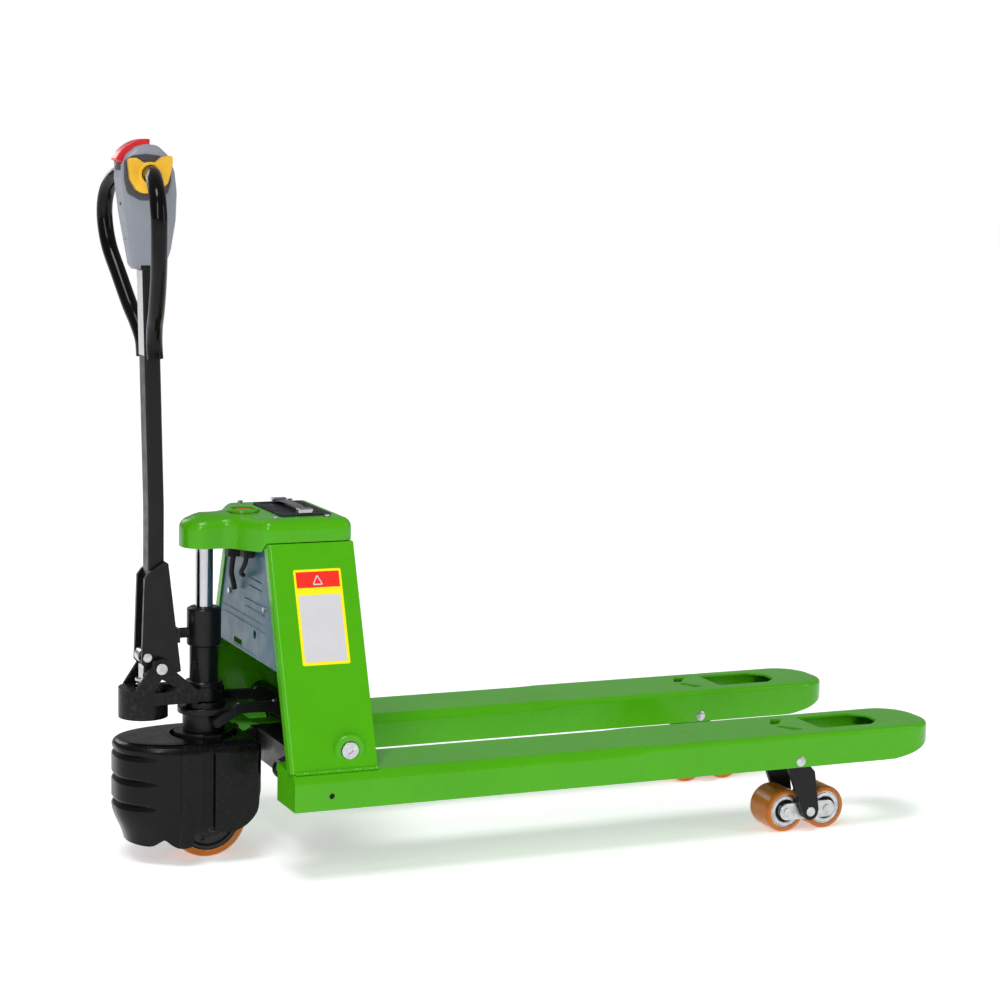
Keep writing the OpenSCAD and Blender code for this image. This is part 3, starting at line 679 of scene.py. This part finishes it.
def fork(side, node):
    tip = span(node)[1].x
    count = len(fork_wall(500, False))
    rings = [fork_ring(i, False, tip) for i in reversed(range(count))]
    rings += [fork_ring(i, True, tip) for i in range(count)]
    bm = bmesh.new()
    loft(bm, [[(x, y + side * FORK_MIDDLE, z) for x, y, z in ring] for ring in rings])
    new_piece(f"{node}_skin", bm, GREEN, "chassis", [node], 0.8, 2, 40, fork_cutters(side))


def fork_plug(bm, side):
    """Plug of the hole low in a fork's side."""
    profile = [(263.0, 0.1), (263.0, 4.9), (271.5, 4.9), (273.0, 4.0), (273.0, 0.1)]
    lathe(bm, [(side * y, r) for y, r in profile], "y", 143, 158, 32)


def fork_plugs():
    bm = bmesh.new()
    mirrored(bm, fork_plug)
    new_piece("fork_plugs", bm, RUBBER, "chassis", (), angle=30)


def half_width(z):
    """Half width of the tower at a height."""
    return mix(265.0, 125.0, (z - 187.0) / (567.0 - 187.0))


def side_plate(bm, side):
    """Folded side plate with its front edge turned in."""
    x0, x1 = 75.0, 230.0
    fold = rounded([(x1, 0), (x0, 0, 8), (x0, 25, 0), (x0 + 3, 25, 0), (x0 + 3, SIDE_SHEET, 4),
                    (x1, SIDE_SHEET)], 0, 6)
    rings = []
    for z in (196.2, 240, 300, 400, 500, 567):
        rings.append([(p[0], side * (half_width(z) - p[1]), z) for p in fold])
    loft(bm, rings)


def weld_bead(bm, side):
    """Fillet weld between side plate and fork."""
    route = []
    for k in range(63):
        x = 82 + 148 * k / 62
        ripple = 0.7 * math.sin(k * 2.1)
        route.append(Vector((x, side * (half_width(198) + 1.0), 197.5 + ripple * 0.4)))
    tube(bm, route, lambda t: 3.2 + 0.5 * math.sin(t * 180), 10)


def shaft_boss(bm, side):
    """Turned boss round the rocker shaft."""
    y = half_width(SHAFT_Z)
    profile = [(-9, 15.5), (-9, 27), (2.5, 27), (4, 25.5), (4, 17), (2.8, 15.5), (-9, 15.5)]
    lathe(bm, [(side * (y + a), r) for a, r in profile], "y", SHAFT_X, SHAFT_Z, 64)


def tower_sides():
    bm = bmesh.new()
    mirrored(bm, side_plate)
    new_piece("side_plate_sheets", bm, GREEN, "chassis", ["side_plates"], 0.8, 2, 50)
    bm = bmesh.new()
    mirrored(bm, weld_bead)
    new_piece("side_plate_welds", bm, GREEN, "chassis")
    bm = bmesh.new()
    mirrored(bm, shaft_boss)
    new_piece("shaft_bosses", bm, GREEN, "chassis", angle=30)


def cover_outline(inset):
    """Plan of the top cover, inset from its edge."""
    nose = 43.0 - inset
    wide = 123.0 - inset
    big = max(40.0 - inset, 1.5)
    small = max(21.0 - inset, 1.5)
    flare = 34.0 + 0.63 * inset
    shoulder = 72.0 + 0.63 * inset
    back = 233.0 - inset
    left = [(-nose, nose, big), (flare, nose, 30 + inset), (shoulder, wide, small), (back, wide, small)]
    right = [(x, -y, corner) for x, y, corner in left[::-1]]
    return rounded(right[-1:] + left + right[:-1], 0, 8)


def cover_ring(inset, fall, low):
    """Ring of the top cover; the nose sits a little lower than the tower part."""
    ring = []
    base = cover_outline(0)
    for edge, p in zip(base, cover_outline(inset)):
        top = 608.0 - mix(7.0, 0.0, ease(edge.x, -40, 60)) * (1 - ease(inset, 14, 30))
        bottom = mix(550.5, 568.5, ease(edge.x, 64, 76))
        ring.append((p.x, p.y, bottom if low else top - fall))
    return ring


def top_cover():
    radius = 19.0
    rings = [cover_ring(2.5, 0, True), cover_ring(0, 0, True)]
    for k in range(7):
        a = math.pi / 2 * k / 6
        rings.append(cover_ring(radius * (1 - math.cos(a)), radius * (1 - math.sin(a)), False))
    rings.append(cover_ring(22, 0, False))
    rings.append(cover_ring(32, 0, False))
    bm = bmesh.new()
    loft(bm, rings)
    window = rounded([(112, -85), (206, -85), (206, 85), (112, 85)], 7)
    inside = [cutter(prism, window, "z", 580, 630), cutter(prism, circle(ESTOP_X, 0, 21, 48), "z", 580, 630),
              cutter(prism, cover_outline(6), "z", 540, 594)]
    new_piece("top_cover_shell", bm, GREEN, "chassis", ["top_cover"], 1.2, 3, 40, inside)


def panel_rib(bm, y0, y1, z, bend=0.0):
    """Pressed rib in the front panel."""
    route = [Vector((78.0, mix(y0, y1, k / 12), z + bend * k / 12)) for k in range(13)]
    tube(bm, route, lambda t: 2.0 * math.sqrt(max(1 - abs(2 * t - 1) ** 8, 0.02)), 12)


def front_panel():
    lo, hi = 342.0, 556.0
    a = half_width(lo + 12) - SIDE_SHEET
    b = half_width(hi) - SIDE_SHEET
    sheet = rounded([(-a, lo + 12, 5), (a, lo + 12, 5), (b, hi, 4), (-b, hi, 4)])
    bm = bmesh.new()
    prism(bm, sheet, "x", 78.2, 81)
    slot = rounded([(28, 362), (74, 362), (74, 372), (28, 372)], 4)
    tools = [cutter(prism, circle(-45, 396, 8, 32), "x", 70, 90), cutter(prism, slot, "x", 70, 90)]
    new_piece("front_panel_sheet", bm, PANEL, "chassis", ["front_panel"], 0.6, 2, 35, tools)
    bm = bmesh.new()
    panel_rib(bm, 4, -84, 492)
    panel_rib(bm, 4, -84, 478)
    panel_rib(bm, 14, -102, 452)
    panel_rib(bm, 14, -102, 438)
    panel_rib(bm, 142, -108, 420)
    panel_rib(bm, 142, -108, 408)
    panel_rib(bm, 78, -58, 358)
    new_piece("front_panel_ribs", bm, PANEL, "chassis")


def on_side(side, x, z, lift):
    """Point on the outer face of a side plate, lifted off it."""
    return Vector((x, side * (half_width(z) + lift), z))


def film(name, side, outline, lift, material):
    """Thin printed sheet on a side plate."""
    bm = bmesh.new()
    loft(bm, [[on_side(side, p[0], p[1], height) for p in outline] for height in (lift - 0.25, lift)])
    new_piece(name, bm, material, "chassis")


def side_label(side, word):
    sheet = rounded([(115, 368), (201, 368), (201, 524), (115, 524)], 3)
    film(f"label_{word}_sheet", side, sheet, 0.3, YELLOW_FILM)
    band = [(119, 494), (197, 494), (197, 520), (119, 520)]
    film(f"label_{word}_band", side, band, 0.45, RED_FILM)
    field = rounded([(120, 373), (196, 373), (196, 482), (120, 482)], 2)
    film(f"label_{word}_field", side, field, 0.45, WHITE_FILM)
    ring = rounded([(147, 498), (167, 498), (157, 516)], 2)
    film(f"label_{word}_sign", side, ring, 0.6, WHITE_FILM)
    ring = rounded([(150.5, 500.2), (163.5, 500.2), (157, 512)], 1)
    film(f"label_{word}_sign_inner", side, ring, 0.7, RED_FILM)


def side_labels():
    for side, word in ((1, "left"), (-1, "right")):
        side_label(side, word)
    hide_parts("side_labels")


# ---------- drive unit ----------

def shroud_outline(inset_front, inset_side, steps=28):
    """Plan of the wheel cover."""
    half = 95.0 - inset_side
    line = []
    for i in range(steps + 1):
        a = math.pi / 2 * i / steps
        line.append(Vector((-8 - (154 - inset_front) * math.cos(a), half * math.sin(a) ** 0.78)))
    corner = 12.0
    for i in range(9):
        a = math.pi / 2 * i / 8
        r = max(corner - inset_side, 1.0)
        line.append(Vector((67 + r * math.sin(a), half - r + r * math.cos(a))))
    return line + [Vector((p.x, -p.y)) for p in line[::-1] if p.y > 0.01]


def groove(z, level):
    """Depth share of a moulded groove near a height."""
    near = abs(z - level) / 7.0
    return max(1 - near, 0.0) ** 1.3


def shroud_ring(z, crown, inner=0.0):
    ring = []
    levels = (108.0, 152.0, 196.0)
    for p in shroud_outline(crown + inner, crown + inner):
        front = ease(-p.x, 70, 140)
        dent = 5.0 * sum(groove(z, level) for level in levels) * ease(-p.x, 95, 140)
        dent += 22.0 * (1 - ease(z, 30, 100)) * front
        dent += 5.0 * (1 - ease(z, 34, 90)) * (1 - front)
        away = Vector((p.x + 8, p.y))
        shift = away.normalized() * dent
        ring.append((p.x - shift.x, p.y - shift.y, z))
    return ring


def shroud_body(bm, inner=0.0):
    heights = [34, 40, 50, 60, 70, 80, 90, 98] + [100 + 2 * k for k in range(51)]
    rings = [shroud_ring(z, 0, inner) for z in heights]
    if inner:
        rings.append(shroud_ring(213, 0, inner))
    else:
        for k in range(1, 7):
            a = math.pi / 2 * k / 6
            rings.append(shroud_ring(202 + 15.5 * math.sin(a), 15.5 * (1 - math.cos(a))))
        rings.append(shroud_ring(217.8, 30))
    loft(bm, rings)


def shroud_underside(bm):
    """Everything below the cover's lower edge."""
    edge = through([(-190, 0, 34), (-150, 0, 38), (-112, 0, 35), (-96, 0, 46), (-90, 0, 49), (-78, 0, 40),
                    (-66, 0, 35), (-50, 0, 36), (-44, 0, 42), (-40, 0, 64), (-30, 0, 69), (-5, 0, 63),
                    (24, 0, 60), (46, 0, 67), (62, 0, 81), (72, 0, 98), (79, 0, 130), (110, 0, 140)], 5)
    outline = [(-190, -20)] + [(p.x, p.z) for p in edge] + [(110, -20)]
    prism(bm, outline, "y", -130, 130)


def strut_slot(bm, side):
    """Vertical recess that shows the wheel fork's leg."""
    lo, hi = sorted((side * 84, side * 130))
    outline = rounded([(-30, 0), (-30, 204, 7), (-6, 204, 7), (-6, 0)], 0)
    prism(bm, outline, "y", lo, hi)


def strut_channel(bm, side):
    """Moulded channel that closes the recess from inside."""
    wall = rounded([(-33, 91.6), (-30.2, 91.6), (-30.2, 83, 4), (-5.8, 83, 4), (-5.8, 91.6), (-3, 91.6),
                    (-3, 80, 5), (-33, 80, 5)], 0)
    prism(bm, [(p[0], side * p[1]) for p in wall], "z", 66, 206)


def cover_part(name, node, x0, x1):
    bm = bmesh.new()
    shroud_body(bm)
    tools = [cutter(shroud_body, 4.0), cutter(shroud_underside)]
    tools.append(cutter(prism, circle(0, 0, 60, 72), "z", 200, 230))
    tools.append(cutter(block, (-300, -200, -10), (x0, 200, 300)))
    tools.append(cutter(block, (x1, -200, -10), (300, 200, 300)))
    if node == "cover_flanks":
        tools += [cutter(strut_slot, 1), cutter(strut_slot, -1), cutter(block, (58, -48, 10), (100, 48, 213))]
    return new_piece(name, bm, COVER, "drive_unit", [node], 1.6, 3, 38, tools)


def wheel_cover():
    cover_part("wheel_cover_nose", "cover_nose", -240, -66.5)
    cover_part("wheel_cover_flanks", "cover_flanks", -65.9, 90)
    bm = bmesh.new()
    mirrored(bm, strut_channel)
    new_piece("wheel_cover_channels", bm, COVER, "drive_unit", (), 0.8, 2, 40)


def drive_wheel():
    half = 35.0
    centre = middle("drive_tyre").z
    bm = bmesh.new()
    profile = [(-half, 56.2), (-half, 63), (-half + 1.5, 66.5), (-half + 5, 69), (-half + 9, 69.9),
               (half - 9, 69.9), (half - 5, 69), (half - 1.5, 66.5), (half, 63), (half, 56.2)]
    lathe(bm, profile + [profile[0]], "y", 0, centre, 128)
    new_piece("drive_tread", bm, PU, "drive_wheel", ["drive_tyre"], angle=30)
    bm = bmesh.new()
    face = [(12.3, 43.5), (25, 43.5), (27, 42), (27.5, 37), (30, 35), (33, 33), (34, 31.5), (46, 31),
            (48, 32.5), (49, 35), (54, 35), (55.8, 33.5)]
    right = [(-w, r) for r, w in face]
    left = [(w, r) for r, w in face[::-1]]
    lathe(bm, right + left + [right[0]], "y", 0, centre, 96)
    for side in (1, -1):
        for k in range(6):
            a = math.pi / 3 * k + 0.3
            lo, hi = sorted((side * 30, side * 35.5))
            lathe(bm, [(lo, 3.4), (hi, 3.4)], "y", 40 * math.cos(a), centre + 40 * math.sin(a), 6)
    new_piece("drive_hub_motor", bm, HUB, "drive_wheel", ["drive_hub"], 0.6, 2, 30)


def cylinder_stack():
    bm = bmesh.new()
    profile = [(304.1, 15.8), (304.1, 33), (310, 33), (312, 31.5), (312, 25.5), (314, 25), (373, 25),
               (375, 24.2), (375, 15.8), (304.1, 15.8)]
    lathe(bm, profile, "z", 0, 0, 96)
    new_piece("lift_cylinder", bm, BLACK, "drive_unit", ["cylinder"], 0.5, 2, 30)
    bm = bmesh.new()
    profile = [(375.2, 15.8), (375.2, 28), (377, 30), (439, 30), (441, 28.6), (441.5, 26), (443, 25),
               (443, 17.5), (441, 15.8), (375.2, 15.8)]
    lathe(bm, profile, "z", 0, 0, 96)
    for k in range(2):
        lathe(bm, [(430, 2.5), (441.8, 2.5)], "z", 22 * math.cos(2 + 2 * k), 22 * math.sin(2 + 2 * k), 12)
    new_piece("gland_sleeve", bm, BLACK, "drive_unit", ["gland_collar"], 0.6, 2, 30)
    bm = bmesh.new()
    profile = [(-26.5, 9), (-44, 9), (-48, 8), (-50, 5.5), (-50, 0.1)]
    lathe(bm, [(-26.5, 0.1)] + profile, "x", 0, 398, 48)
    new_piece("stop_buffer_rubber", bm, RUBBER, "drive_unit", ["stop_buffer"], angle=30)
    bm = bmesh.new()
    lathe(bm, [(417, 0.1), (417, 14), (418.5, 15.5), (568, 15.5), (568, 0.1)], "z", 0, 0, 96)
    new_piece("ram_bar", bm, CHROME, "chassis", ["ram_rod"], angle=30)


def plunger_coil():
    bm = bmesh.new()
    x = middle("plunger_spring").x
    lo, hi = span("plunger_spring")
    turns = 7.0
    route = []
    for k in range(241):
        a = 2 * math.pi * turns * k / 240
        z = mix(lo.z + 1.7, hi.z - 1.7, k / 240)
        route.append(Vector((x + 11.3 * math.cos(a), 11.3 * math.sin(a), z)))
    tube(bm, route, 1.6, 10)
    coil = new_piece("plunger_coil", bm, ZINC, "drive_unit", ["plunger_spring"])
    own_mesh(coil)


# ---------- load rollers ----------

def load_roller(end, word):
    tyre = f"tyre_{end}_{word}"
    body = f"roller_{end}_{word}"
    place = middle(tyre)
    y = place.y
    bm = bmesh.new()
    profile = [(-34, 31.2), (-34, 35), (-33, 37.5), (-30.5, 39.4), (-28, 40), (28, 40), (30.5, 39.4),
               (33, 37.5), (34, 35), (34, 31.2), (-34, 31.2)]
    lathe(bm, [(y + a, b) for a, b in profile], "y", place.x, place.z, 96)
    new_piece(f"{tyre}_tread", bm, PU, body, [tyre], angle=30)
    bm = bmesh.new()
    face = [(8.2, 31), (14, 31), (15, 29.5), (20, 29.5), (21, 32.5), (23, 33.2), (28, 33.2), (29, 32),
            (31, 32)]
    profile = [(-w, b) for b, w in face] + [(w, b) for b, w in face[::-1]]
    lathe(bm, [(y + a, b) for a, b in profile + [profile[0]]], "y", place.x, place.z, 72)
    new_piece(f"hub_{end}_{word}_core", bm, ZINC, body, [f"hub_{end}_{word}"], 0.3, 2, 30)
    bm = bmesh.new()
    for s in (1, -1):
        ring = [(29.6, 15), (29.6, 20.4), (30.6, 20.4), (31, 19.5), (31, 16), (30.6, 15), (29.6, 15)]
        lathe(bm, [(y + s * a, b) for a, b in ring], "y", place.x, place.z, 64)
    new_piece(f"seal_{end}_{word}", bm, RUBBER, body, (), angle=30)


def link_plate(bm, side):
    """Plate that joins the two rollers of a bogie, with its shoulders."""
    lo, hi = span("link_plates")
    z = (lo.z + hi.z) / 2
    first, last = lo.x + 20, hi.x - 20
    for offset in (-38, 38):
        y = side * FORK_MIDDLE + offset
        prism(bm, bar((first, z), (last, z), 16, 20), "y", y - 2.9, y + 2.9)


def roller_carriers():
    bm = bmesh.new()
    mirrored(bm, link_plate)
    new_piece("bogie_links", bm, ZINC, "bogies", ["link_plates"], 0.8, 3, 35)
    bm = bmesh.new()
    mirrored(bm, leg_pin)
    new_piece("leg_pivot_pins", bm, ZINC, "chassis", ["leg_pins"], angle=30)


def leg_pin(bm, side):
    """Pivot pin of a leg, its ends a little proud of the fork."""
    profile = [(113, 0.1), (113, 7), (114, 9.3), (116, 10), (273.5, 10), (275.6, 9.3), (276.4, 7),
               (276.4, 0.1)]
    lathe(bm, [(side * y, r) for y, r in profile], "y", LEG_X, LEG_Z, 48)


def load_rollers():
    for word in ("left", "right"):
        for end in ("front", "rear"):
            load_roller(end, word)


# ---------- tiller ----------

GRIP_X = -110.0
GRIP_Z = 1190.0
TUBE_R = 13.9


def tube_ring(x, z, wide, deep, corner):
    """Ring of the rectangular tiller tube."""
    section = rounded([(-deep, -wide), (deep, -wide), (deep, wide), (-deep, wide)], corner, 5)
    return [(x + p[0], p[1], z) for p in section]


def tiller_tube():
    bm = bmesh.new()
    stations = ((-91, 420), (-91, 624), (-91.2, 632), (-97, 850), (-102, 1036))
    loft(bm, [tube_ring(x, z, 20, 14, 4.5) for x, z in stations])
    new_piece("tiller_tube_section", bm, BLACK, "tiller", ["tiller_tube"], 0.6, 2, 40)
    bm = bmesh.new()
    rings = []
    for z in (884, 950, 1028):
        x = mix(-91, -102, (z - 625) / (1036 - 625)) - 14.15
        rings.append([(x, -17, z), (x, 17, z), (x - 0.3, 17, z), (x - 0.3, -17, z)])
    loft(bm, rings)
    new_piece("tiller_strip", bm, WHITE_FILM, "tiller")


def loop_route(side):
    points = [(-110, 34, 1190), (-113, 70, 1190), (-124, 118, 1186), (-130, 160, 1160), (-131, 176, 1118),
              (-127, 163, 1066), (-118, 126, 1014), (-110, 86, 965), (-105, 58, 938), (-100, 37, 908),
              (-98, 35.5, 880)]
    return through([(x, side * y, z) for x, y, z in points], 8)


def handle_loops():
    bm = bmesh.new()
    for side in (1, -1):
        route = loop_route(side)
        tube(bm, route, TUBE_R, 28)
        lo, hi = sorted((side * 20.4, side * 35.5))
        lathe(bm, [(lo, 9), (hi, 9)], "y", -98, 890, 32)
    lathe(bm, [(-34.5, TUBE_R), (34.5, TUBE_R)], "y", GRIP_X, GRIP_Z, 32)
    new_piece("handle_loop_tubes", bm, GRIP, "tiller", ["handle_loops"], angle=40)


def head_half(z):
    """Half width of the control head at a height."""
    return 33.0 - 12.0 * (1 - ease(z, 1015, 1160)) - 9.0 * ease(z, 1205, 1250)


def head_profile():
    """Side outline of the control head."""
    points = [(-127, 1030, 5), (-133, 1037, 6), (-147, 1125, 60), (-154, 1185, 40), (-153, 1204, 14),
              (-145, 1222, 14), (-129, 1236, 16), (-108, 1242, 24), (-88, 1237, 18), (-72, 1222, 20),
              (-62, 1195, 30), (-58, 1160, 60), (-59, 1112, 90), (-66, 1060, 60), (-74, 1038, 12),
              (-84, 1030, 6)]
    return rounded(points, 0, 4)


def shrink(p, share, middle_x=-106.0, middle_z=1140.0):
    """Pull an outline point towards the middle of the head."""
    return Vector((mix(p.x, middle_x, share), mix(p.y, middle_z, share * 0.8)))


def head_rings(side):
    outline = head_profile()
    rings = []
    edge = 10.0
    for k in range(6):
        a = math.pi / 2 * k / 5
        inset = edge * (1 - math.sin(a))
        share = edge * (1 - math.cos(a)) / 46.0
        ring = []
        for p in outline:
            q = shrink(p, share)
            ring.append((q.x, side * (head_half(q.y) - inset), q.y))
        rings.append(ring)
    for share in (0.5, 0.8, 0.97):
        inner = [shrink(p, share) for p in outline]
        rings.append([(q.x, side * head_half(q.y), q.y) for q in inner])
    return rings


def control_head():
    bm = bmesh.new()
    loft(bm, head_rings(-1)[::-1] + head_rings(1))
    slot = cutter(block, (-200, -18.4, 1196), (-96, 18.4, 1260))
    bore = cutter(prism, circle(GRIP_X, GRIP_Z, 20.8, 48), "y", -60, 60)
    sleeve = cutter(block, (-118, -20.5, 1010), (-87, 20.5, 1037))
    new_piece("control_head_shell", bm, HEAD, "tiller", ["control_head"], 0.8, 2, 34,
              [slot, bore, sleeve])
    bm = bmesh.new()
    mirrored(bm, head_patch)
    new_piece("control_head_pads", bm, HEAD_DARK, "tiller", (), 1.0, 3, 35)


def head_patch(bm, side):
    """Dark grip pad behind the throttle."""
    outline = rounded([(-151, 1212), (-136, 1221), (-112, 1224), (-88, 1221), (-74, 1206), (-70, 1180),
                       (-76, 1158), (-92, 1146), (-124, 1146), (-146, 1158), (-151, 1180)], 9)
    rings = []
    for lift, share in ((-4, 0.0), (0.6, 0.0), (1.6, 0.03)):
        ring = []
        for p in outline:
            q = Vector((mix(p.x, -110, share), mix(p.y, 1186, share)))
            ring.append((q.x, side * (head_half(q.y) + lift), q.y))
        rings.append(ring)
    loft(bm, rings)


def throttle():
    outline = rounded([(-148, 1216, 5), (-134, 1217, 5), (-120, 1208, 10), (-103, 1208, 10), (-90, 1219, 6),
                       (-72, 1222, 4), (-72, 1207, 6), (-80, 1176, 10), (-90, 1166, 9), (-122, 1157, 14),
                       (-134, 1164, 9), (-144, 1181, 9)], 0)
    for side, word in ((1, "left"), (-1, "right")):
        bm = bmesh.new()
        lo, hi = sorted((side * 36, side * 50))
        prism(bm, outline, "y", lo, hi)
        bore = cutter(prism, circle(GRIP_X, GRIP_Z, 15.6, 48), "y", -60, 60)
        new_piece(f"throttle_{word}", bm, YELLOW, "throttle", (), 3.2, 4, 40, [bore])
    bm = bmesh.new()
    profile = [(-52, 15.7), (-52, 18.5), (-50, 20.4), (50, 20.4), (52, 18.5), (52, 15.7), (-52, 15.7)]
    lathe(bm, profile, "y", GRIP_X, GRIP_Z, 64)
    new_piece("throttle_sleeve", bm, YELLOW, "throttle", ["throttle"], angle=30)


def belly_button():
    outline = []
    first, last = math.radians(86.5), math.radians(154.5)
    for k in range(25):
        a = mix(first, last, k / 24)
        outline.append((-106 + 61.8 * math.cos(a), 1187 + 61.8 * math.sin(a)))
    for k in range(25):
        a = mix(last, first, k / 24)
        outline.append((-106 + 46.2 * math.cos(a), 1187 + 46.2 * math.sin(a)))
    bm = bmesh.new()
    prism(bm, outline, "y", -17.8, 17.8)
    new_piece("belly_button_pad", bm, RED, "belly_button", ["belly_button"], 4.5, 5, 45)


# ---------- battery and switches ----------

def battery_top():
    bm = bmesh.new()
    outline = rounded([(113, -84), (205, -84), (205, 84), (113, 84)], 8)
    prism(bm, outline, "z", 598.1, 611)
    recess = cutter(prism, rounded([(122, -75), (196, -75), (196, 75), (122, 75)], 6), "z", 609.6, 620)
    new_piece("battery_lid_shell", bm, MATTE, "battery", ["battery_lid"], 2.2, 4, 40, [recess])
    bm = bmesh.new()
    rings = []
    for k in range(41):
        y = mix(-66, 66, k / 40)
        rise = 614.2 + 5.4 * (1 - abs(y / 66) ** 4)
        section = [(149.5, -1.6), (150.6, 0.2), (167.4, 0.2), (168.5, -1.6), (167.4, -2.4), (150.6, -2.4)]
        rings.append([(x, y, rise + z) for x, z in section])
    loft(bm, rings)
    new_piece("carry_strap_band", bm, WEBBING, "battery", ["carry_strap"], 0.3, 2, 40)
    bm = bmesh.new()
    mirrored(bm, strap_block)
    new_piece("strap_blocks", bm, CHROME, "battery", ["strap_brackets"], 1.2, 3, 35)


def strap_block(bm, side):
    """Plated end block of the carry strap."""
    lo, hi = sorted((side * 63, side * 78))
    outline = rounded([(145, lo), (173, lo), (173, hi), (145, hi)], 3)
    prism(bm, outline, "z", 611.1, 619.3)


def emergency_stop():
    bm = bmesh.new()
    profile = [(583, 0.1), (583, 9), (603, 9), (604, 17), (605.5, 19), (609, 18.6), (611.4, 15), (612.4, 9),
               (612.5, 0.1)]
    lathe(bm, profile, "z", ESTOP_X, 0, 64)
    new_piece("estop_mushroom", bm, RED, "estop", ["estop_button"], angle=50)
    bm = bmesh.new()
    profile = [(609.05, 21.2), (609.05, 28.8), (612.4, 28), (613.9, 25.6), (613.9, 22.6), (612.8, 21.2),
               (609.05, 21.2)]
    lathe(bm, profile, "z", ESTOP_X, 0, 72)
    new_piece("estop_guard", bm, GREEN, "chassis", ["estop_ring"], angle=40)


def wiring():
    """Plugs and leads behind the ram."""
    bm = bmesh.new()
    plug = rounded([(46, 4), (70, 4), (70, 34), (46, 34)], 5)
    prism(bm, plug, "z", 527, 555.8)
    plug = rounded([(58, -48), (77, -48), (77, -18), (58, -18)], 4)
    prism(bm, plug, "z", 532, 555.8)
    left = through([(60, 20, 530), (58, 22, 516), (60, 34, 495), (66, 44, 478), (70, 46, 462)], 8)
    tube(bm, left, 4.9, 16)
    right = through([(67, -33, 533), (64, -30, 518), (62, -18, 505), (66, -6, 498), (72, 2, 494)], 8)
    tube(bm, right, 4.2, 16)
    new_piece("harness_plugs", bm, MATTE, "chassis", ["harness"], 1.0, 2, 45)


def build():
    fork(-1, "fork_right")
    fork(1, "fork_left")
    fork_plugs()
    tower_sides()
    top_cover()
    front_panel()
    side_labels()
    wheel_cover()
    drive_wheel()
    cylinder_stack()
    plunger_coil()
    load_rollers()
    roller_carriers()
    tiller_tube()
    handle_loops()
    control_head()
    throttle()
    belly_button()
    battery_top()
    emergency_stop()
    wiring()


# ---------- stage ----------

def camera():
    """Standing view from ahead of the truck's right side."""
    data = bpy.data.cameras.new("camera")
    data.lens = 88.4
    obj = bpy.data.objects.new("camera", data)
    bpy.context.scene.collection.objects.link(obj)
    heading = Matrix.Rotation(math.radians(-23.61), 4, "Z")
    pitch = Matrix.Rotation(math.radians(90 - 7.94), 4, "X")
    roll = Matrix.Rotation(math.radians(1.2), 4, "Z")
    obj.matrix_world = Matrix.Translation(TO_FRAME @ Vector((-1221, -4075, 1230))) @ heading @ pitch @ roll
    bpy.context.scene.camera = obj


def floor():
    """Pale floor with a faint glow of its own, as on a light table."""
    bm = bmesh.new()
    prism(bm, circle(0, 0, 60000, 96), "z", -20, 0)
    obj = raw_object("floor", bm)
    finish = Finish("floor_white", (0.9, 0.9, 0.9), 0.6)
    finish.tint(0.01, 0.5)
    finish.shader.inputs["Emission Color"].default_value = (1.0, 1.0, 1.0, 1.0)
    finish.shader.inputs["Emission Strength"].default_value = 0.42
    obj.data.materials.append(finish.done())


def softbox(name, place, target, width, height, power):
    """Area light at a place, in metres, that looks at a target."""
    data = bpy.data.lights.new(name, "AREA")
    data.shape = "RECTANGLE"
    data.size = width
    data.size_y = height
    data.energy = power
    obj = bpy.data.objects.new(name, data)
    obj.location = place
    obj.rotation_mode = "QUATERNION"
    obj.rotation_quaternion = (Vector(target) - Vector(place)).to_track_quat("-Z", "Y")
    bpy.context.scene.collection.objects.link(obj)


def sun():
    """Broad even light from above the right front."""
    data = bpy.data.lights.new("sun", "SUN")
    data.energy = 1.45
    data.angle = math.radians(22)
    obj = bpy.data.objects.new("sun", data)
    obj.rotation_mode = "QUATERNION"
    obj.rotation_quaternion = Vector((0.25, 0.35, -1.0)).to_track_quat("-Z", "Y")
    bpy.context.scene.collection.objects.link(obj)


def lights():
    sun()
    middle_of_truck = (0.0, 0.0, 0.4)
    softbox("key", (-2.6, -3.4, 2.6), middle_of_truck, 0.7, 2.6, 55)
    softbox("side", (3.4, -2.6, 2.0), middle_of_truck, 0.6, 2.6, 30)
    softbox("back", (-1.5, 3.8, 2.4), middle_of_truck, 1.2, 2.0, 25)
    world = bpy.data.worlds.new("studio")
    bpy.context.scene.world = world
    world.use_nodes = True
    tree = world.node_tree
    background = tree.nodes["Background"]
    background.inputs["Strength"].default_value = 1.0
    path = tree.nodes.new("ShaderNodeLightPath")
    tone = tree.nodes.new("ShaderNodeMix")
    tone.data_type = "RGBA"
    tone.inputs[6].default_value = (0.28, 0.28, 0.29, 1.0)
    tone.inputs[7].default_value = (1.0, 1.0, 1.0, 1.0)
    tree.links.new(path.outputs["Is Camera Ray"], tone.inputs[0])
    tree.links.new(tone.outputs[2], background.inputs["Color"])
    bpy.context.scene.view_settings.view_transform = "Standard"


camera()
floor()
lights()
dress_frame()
build()
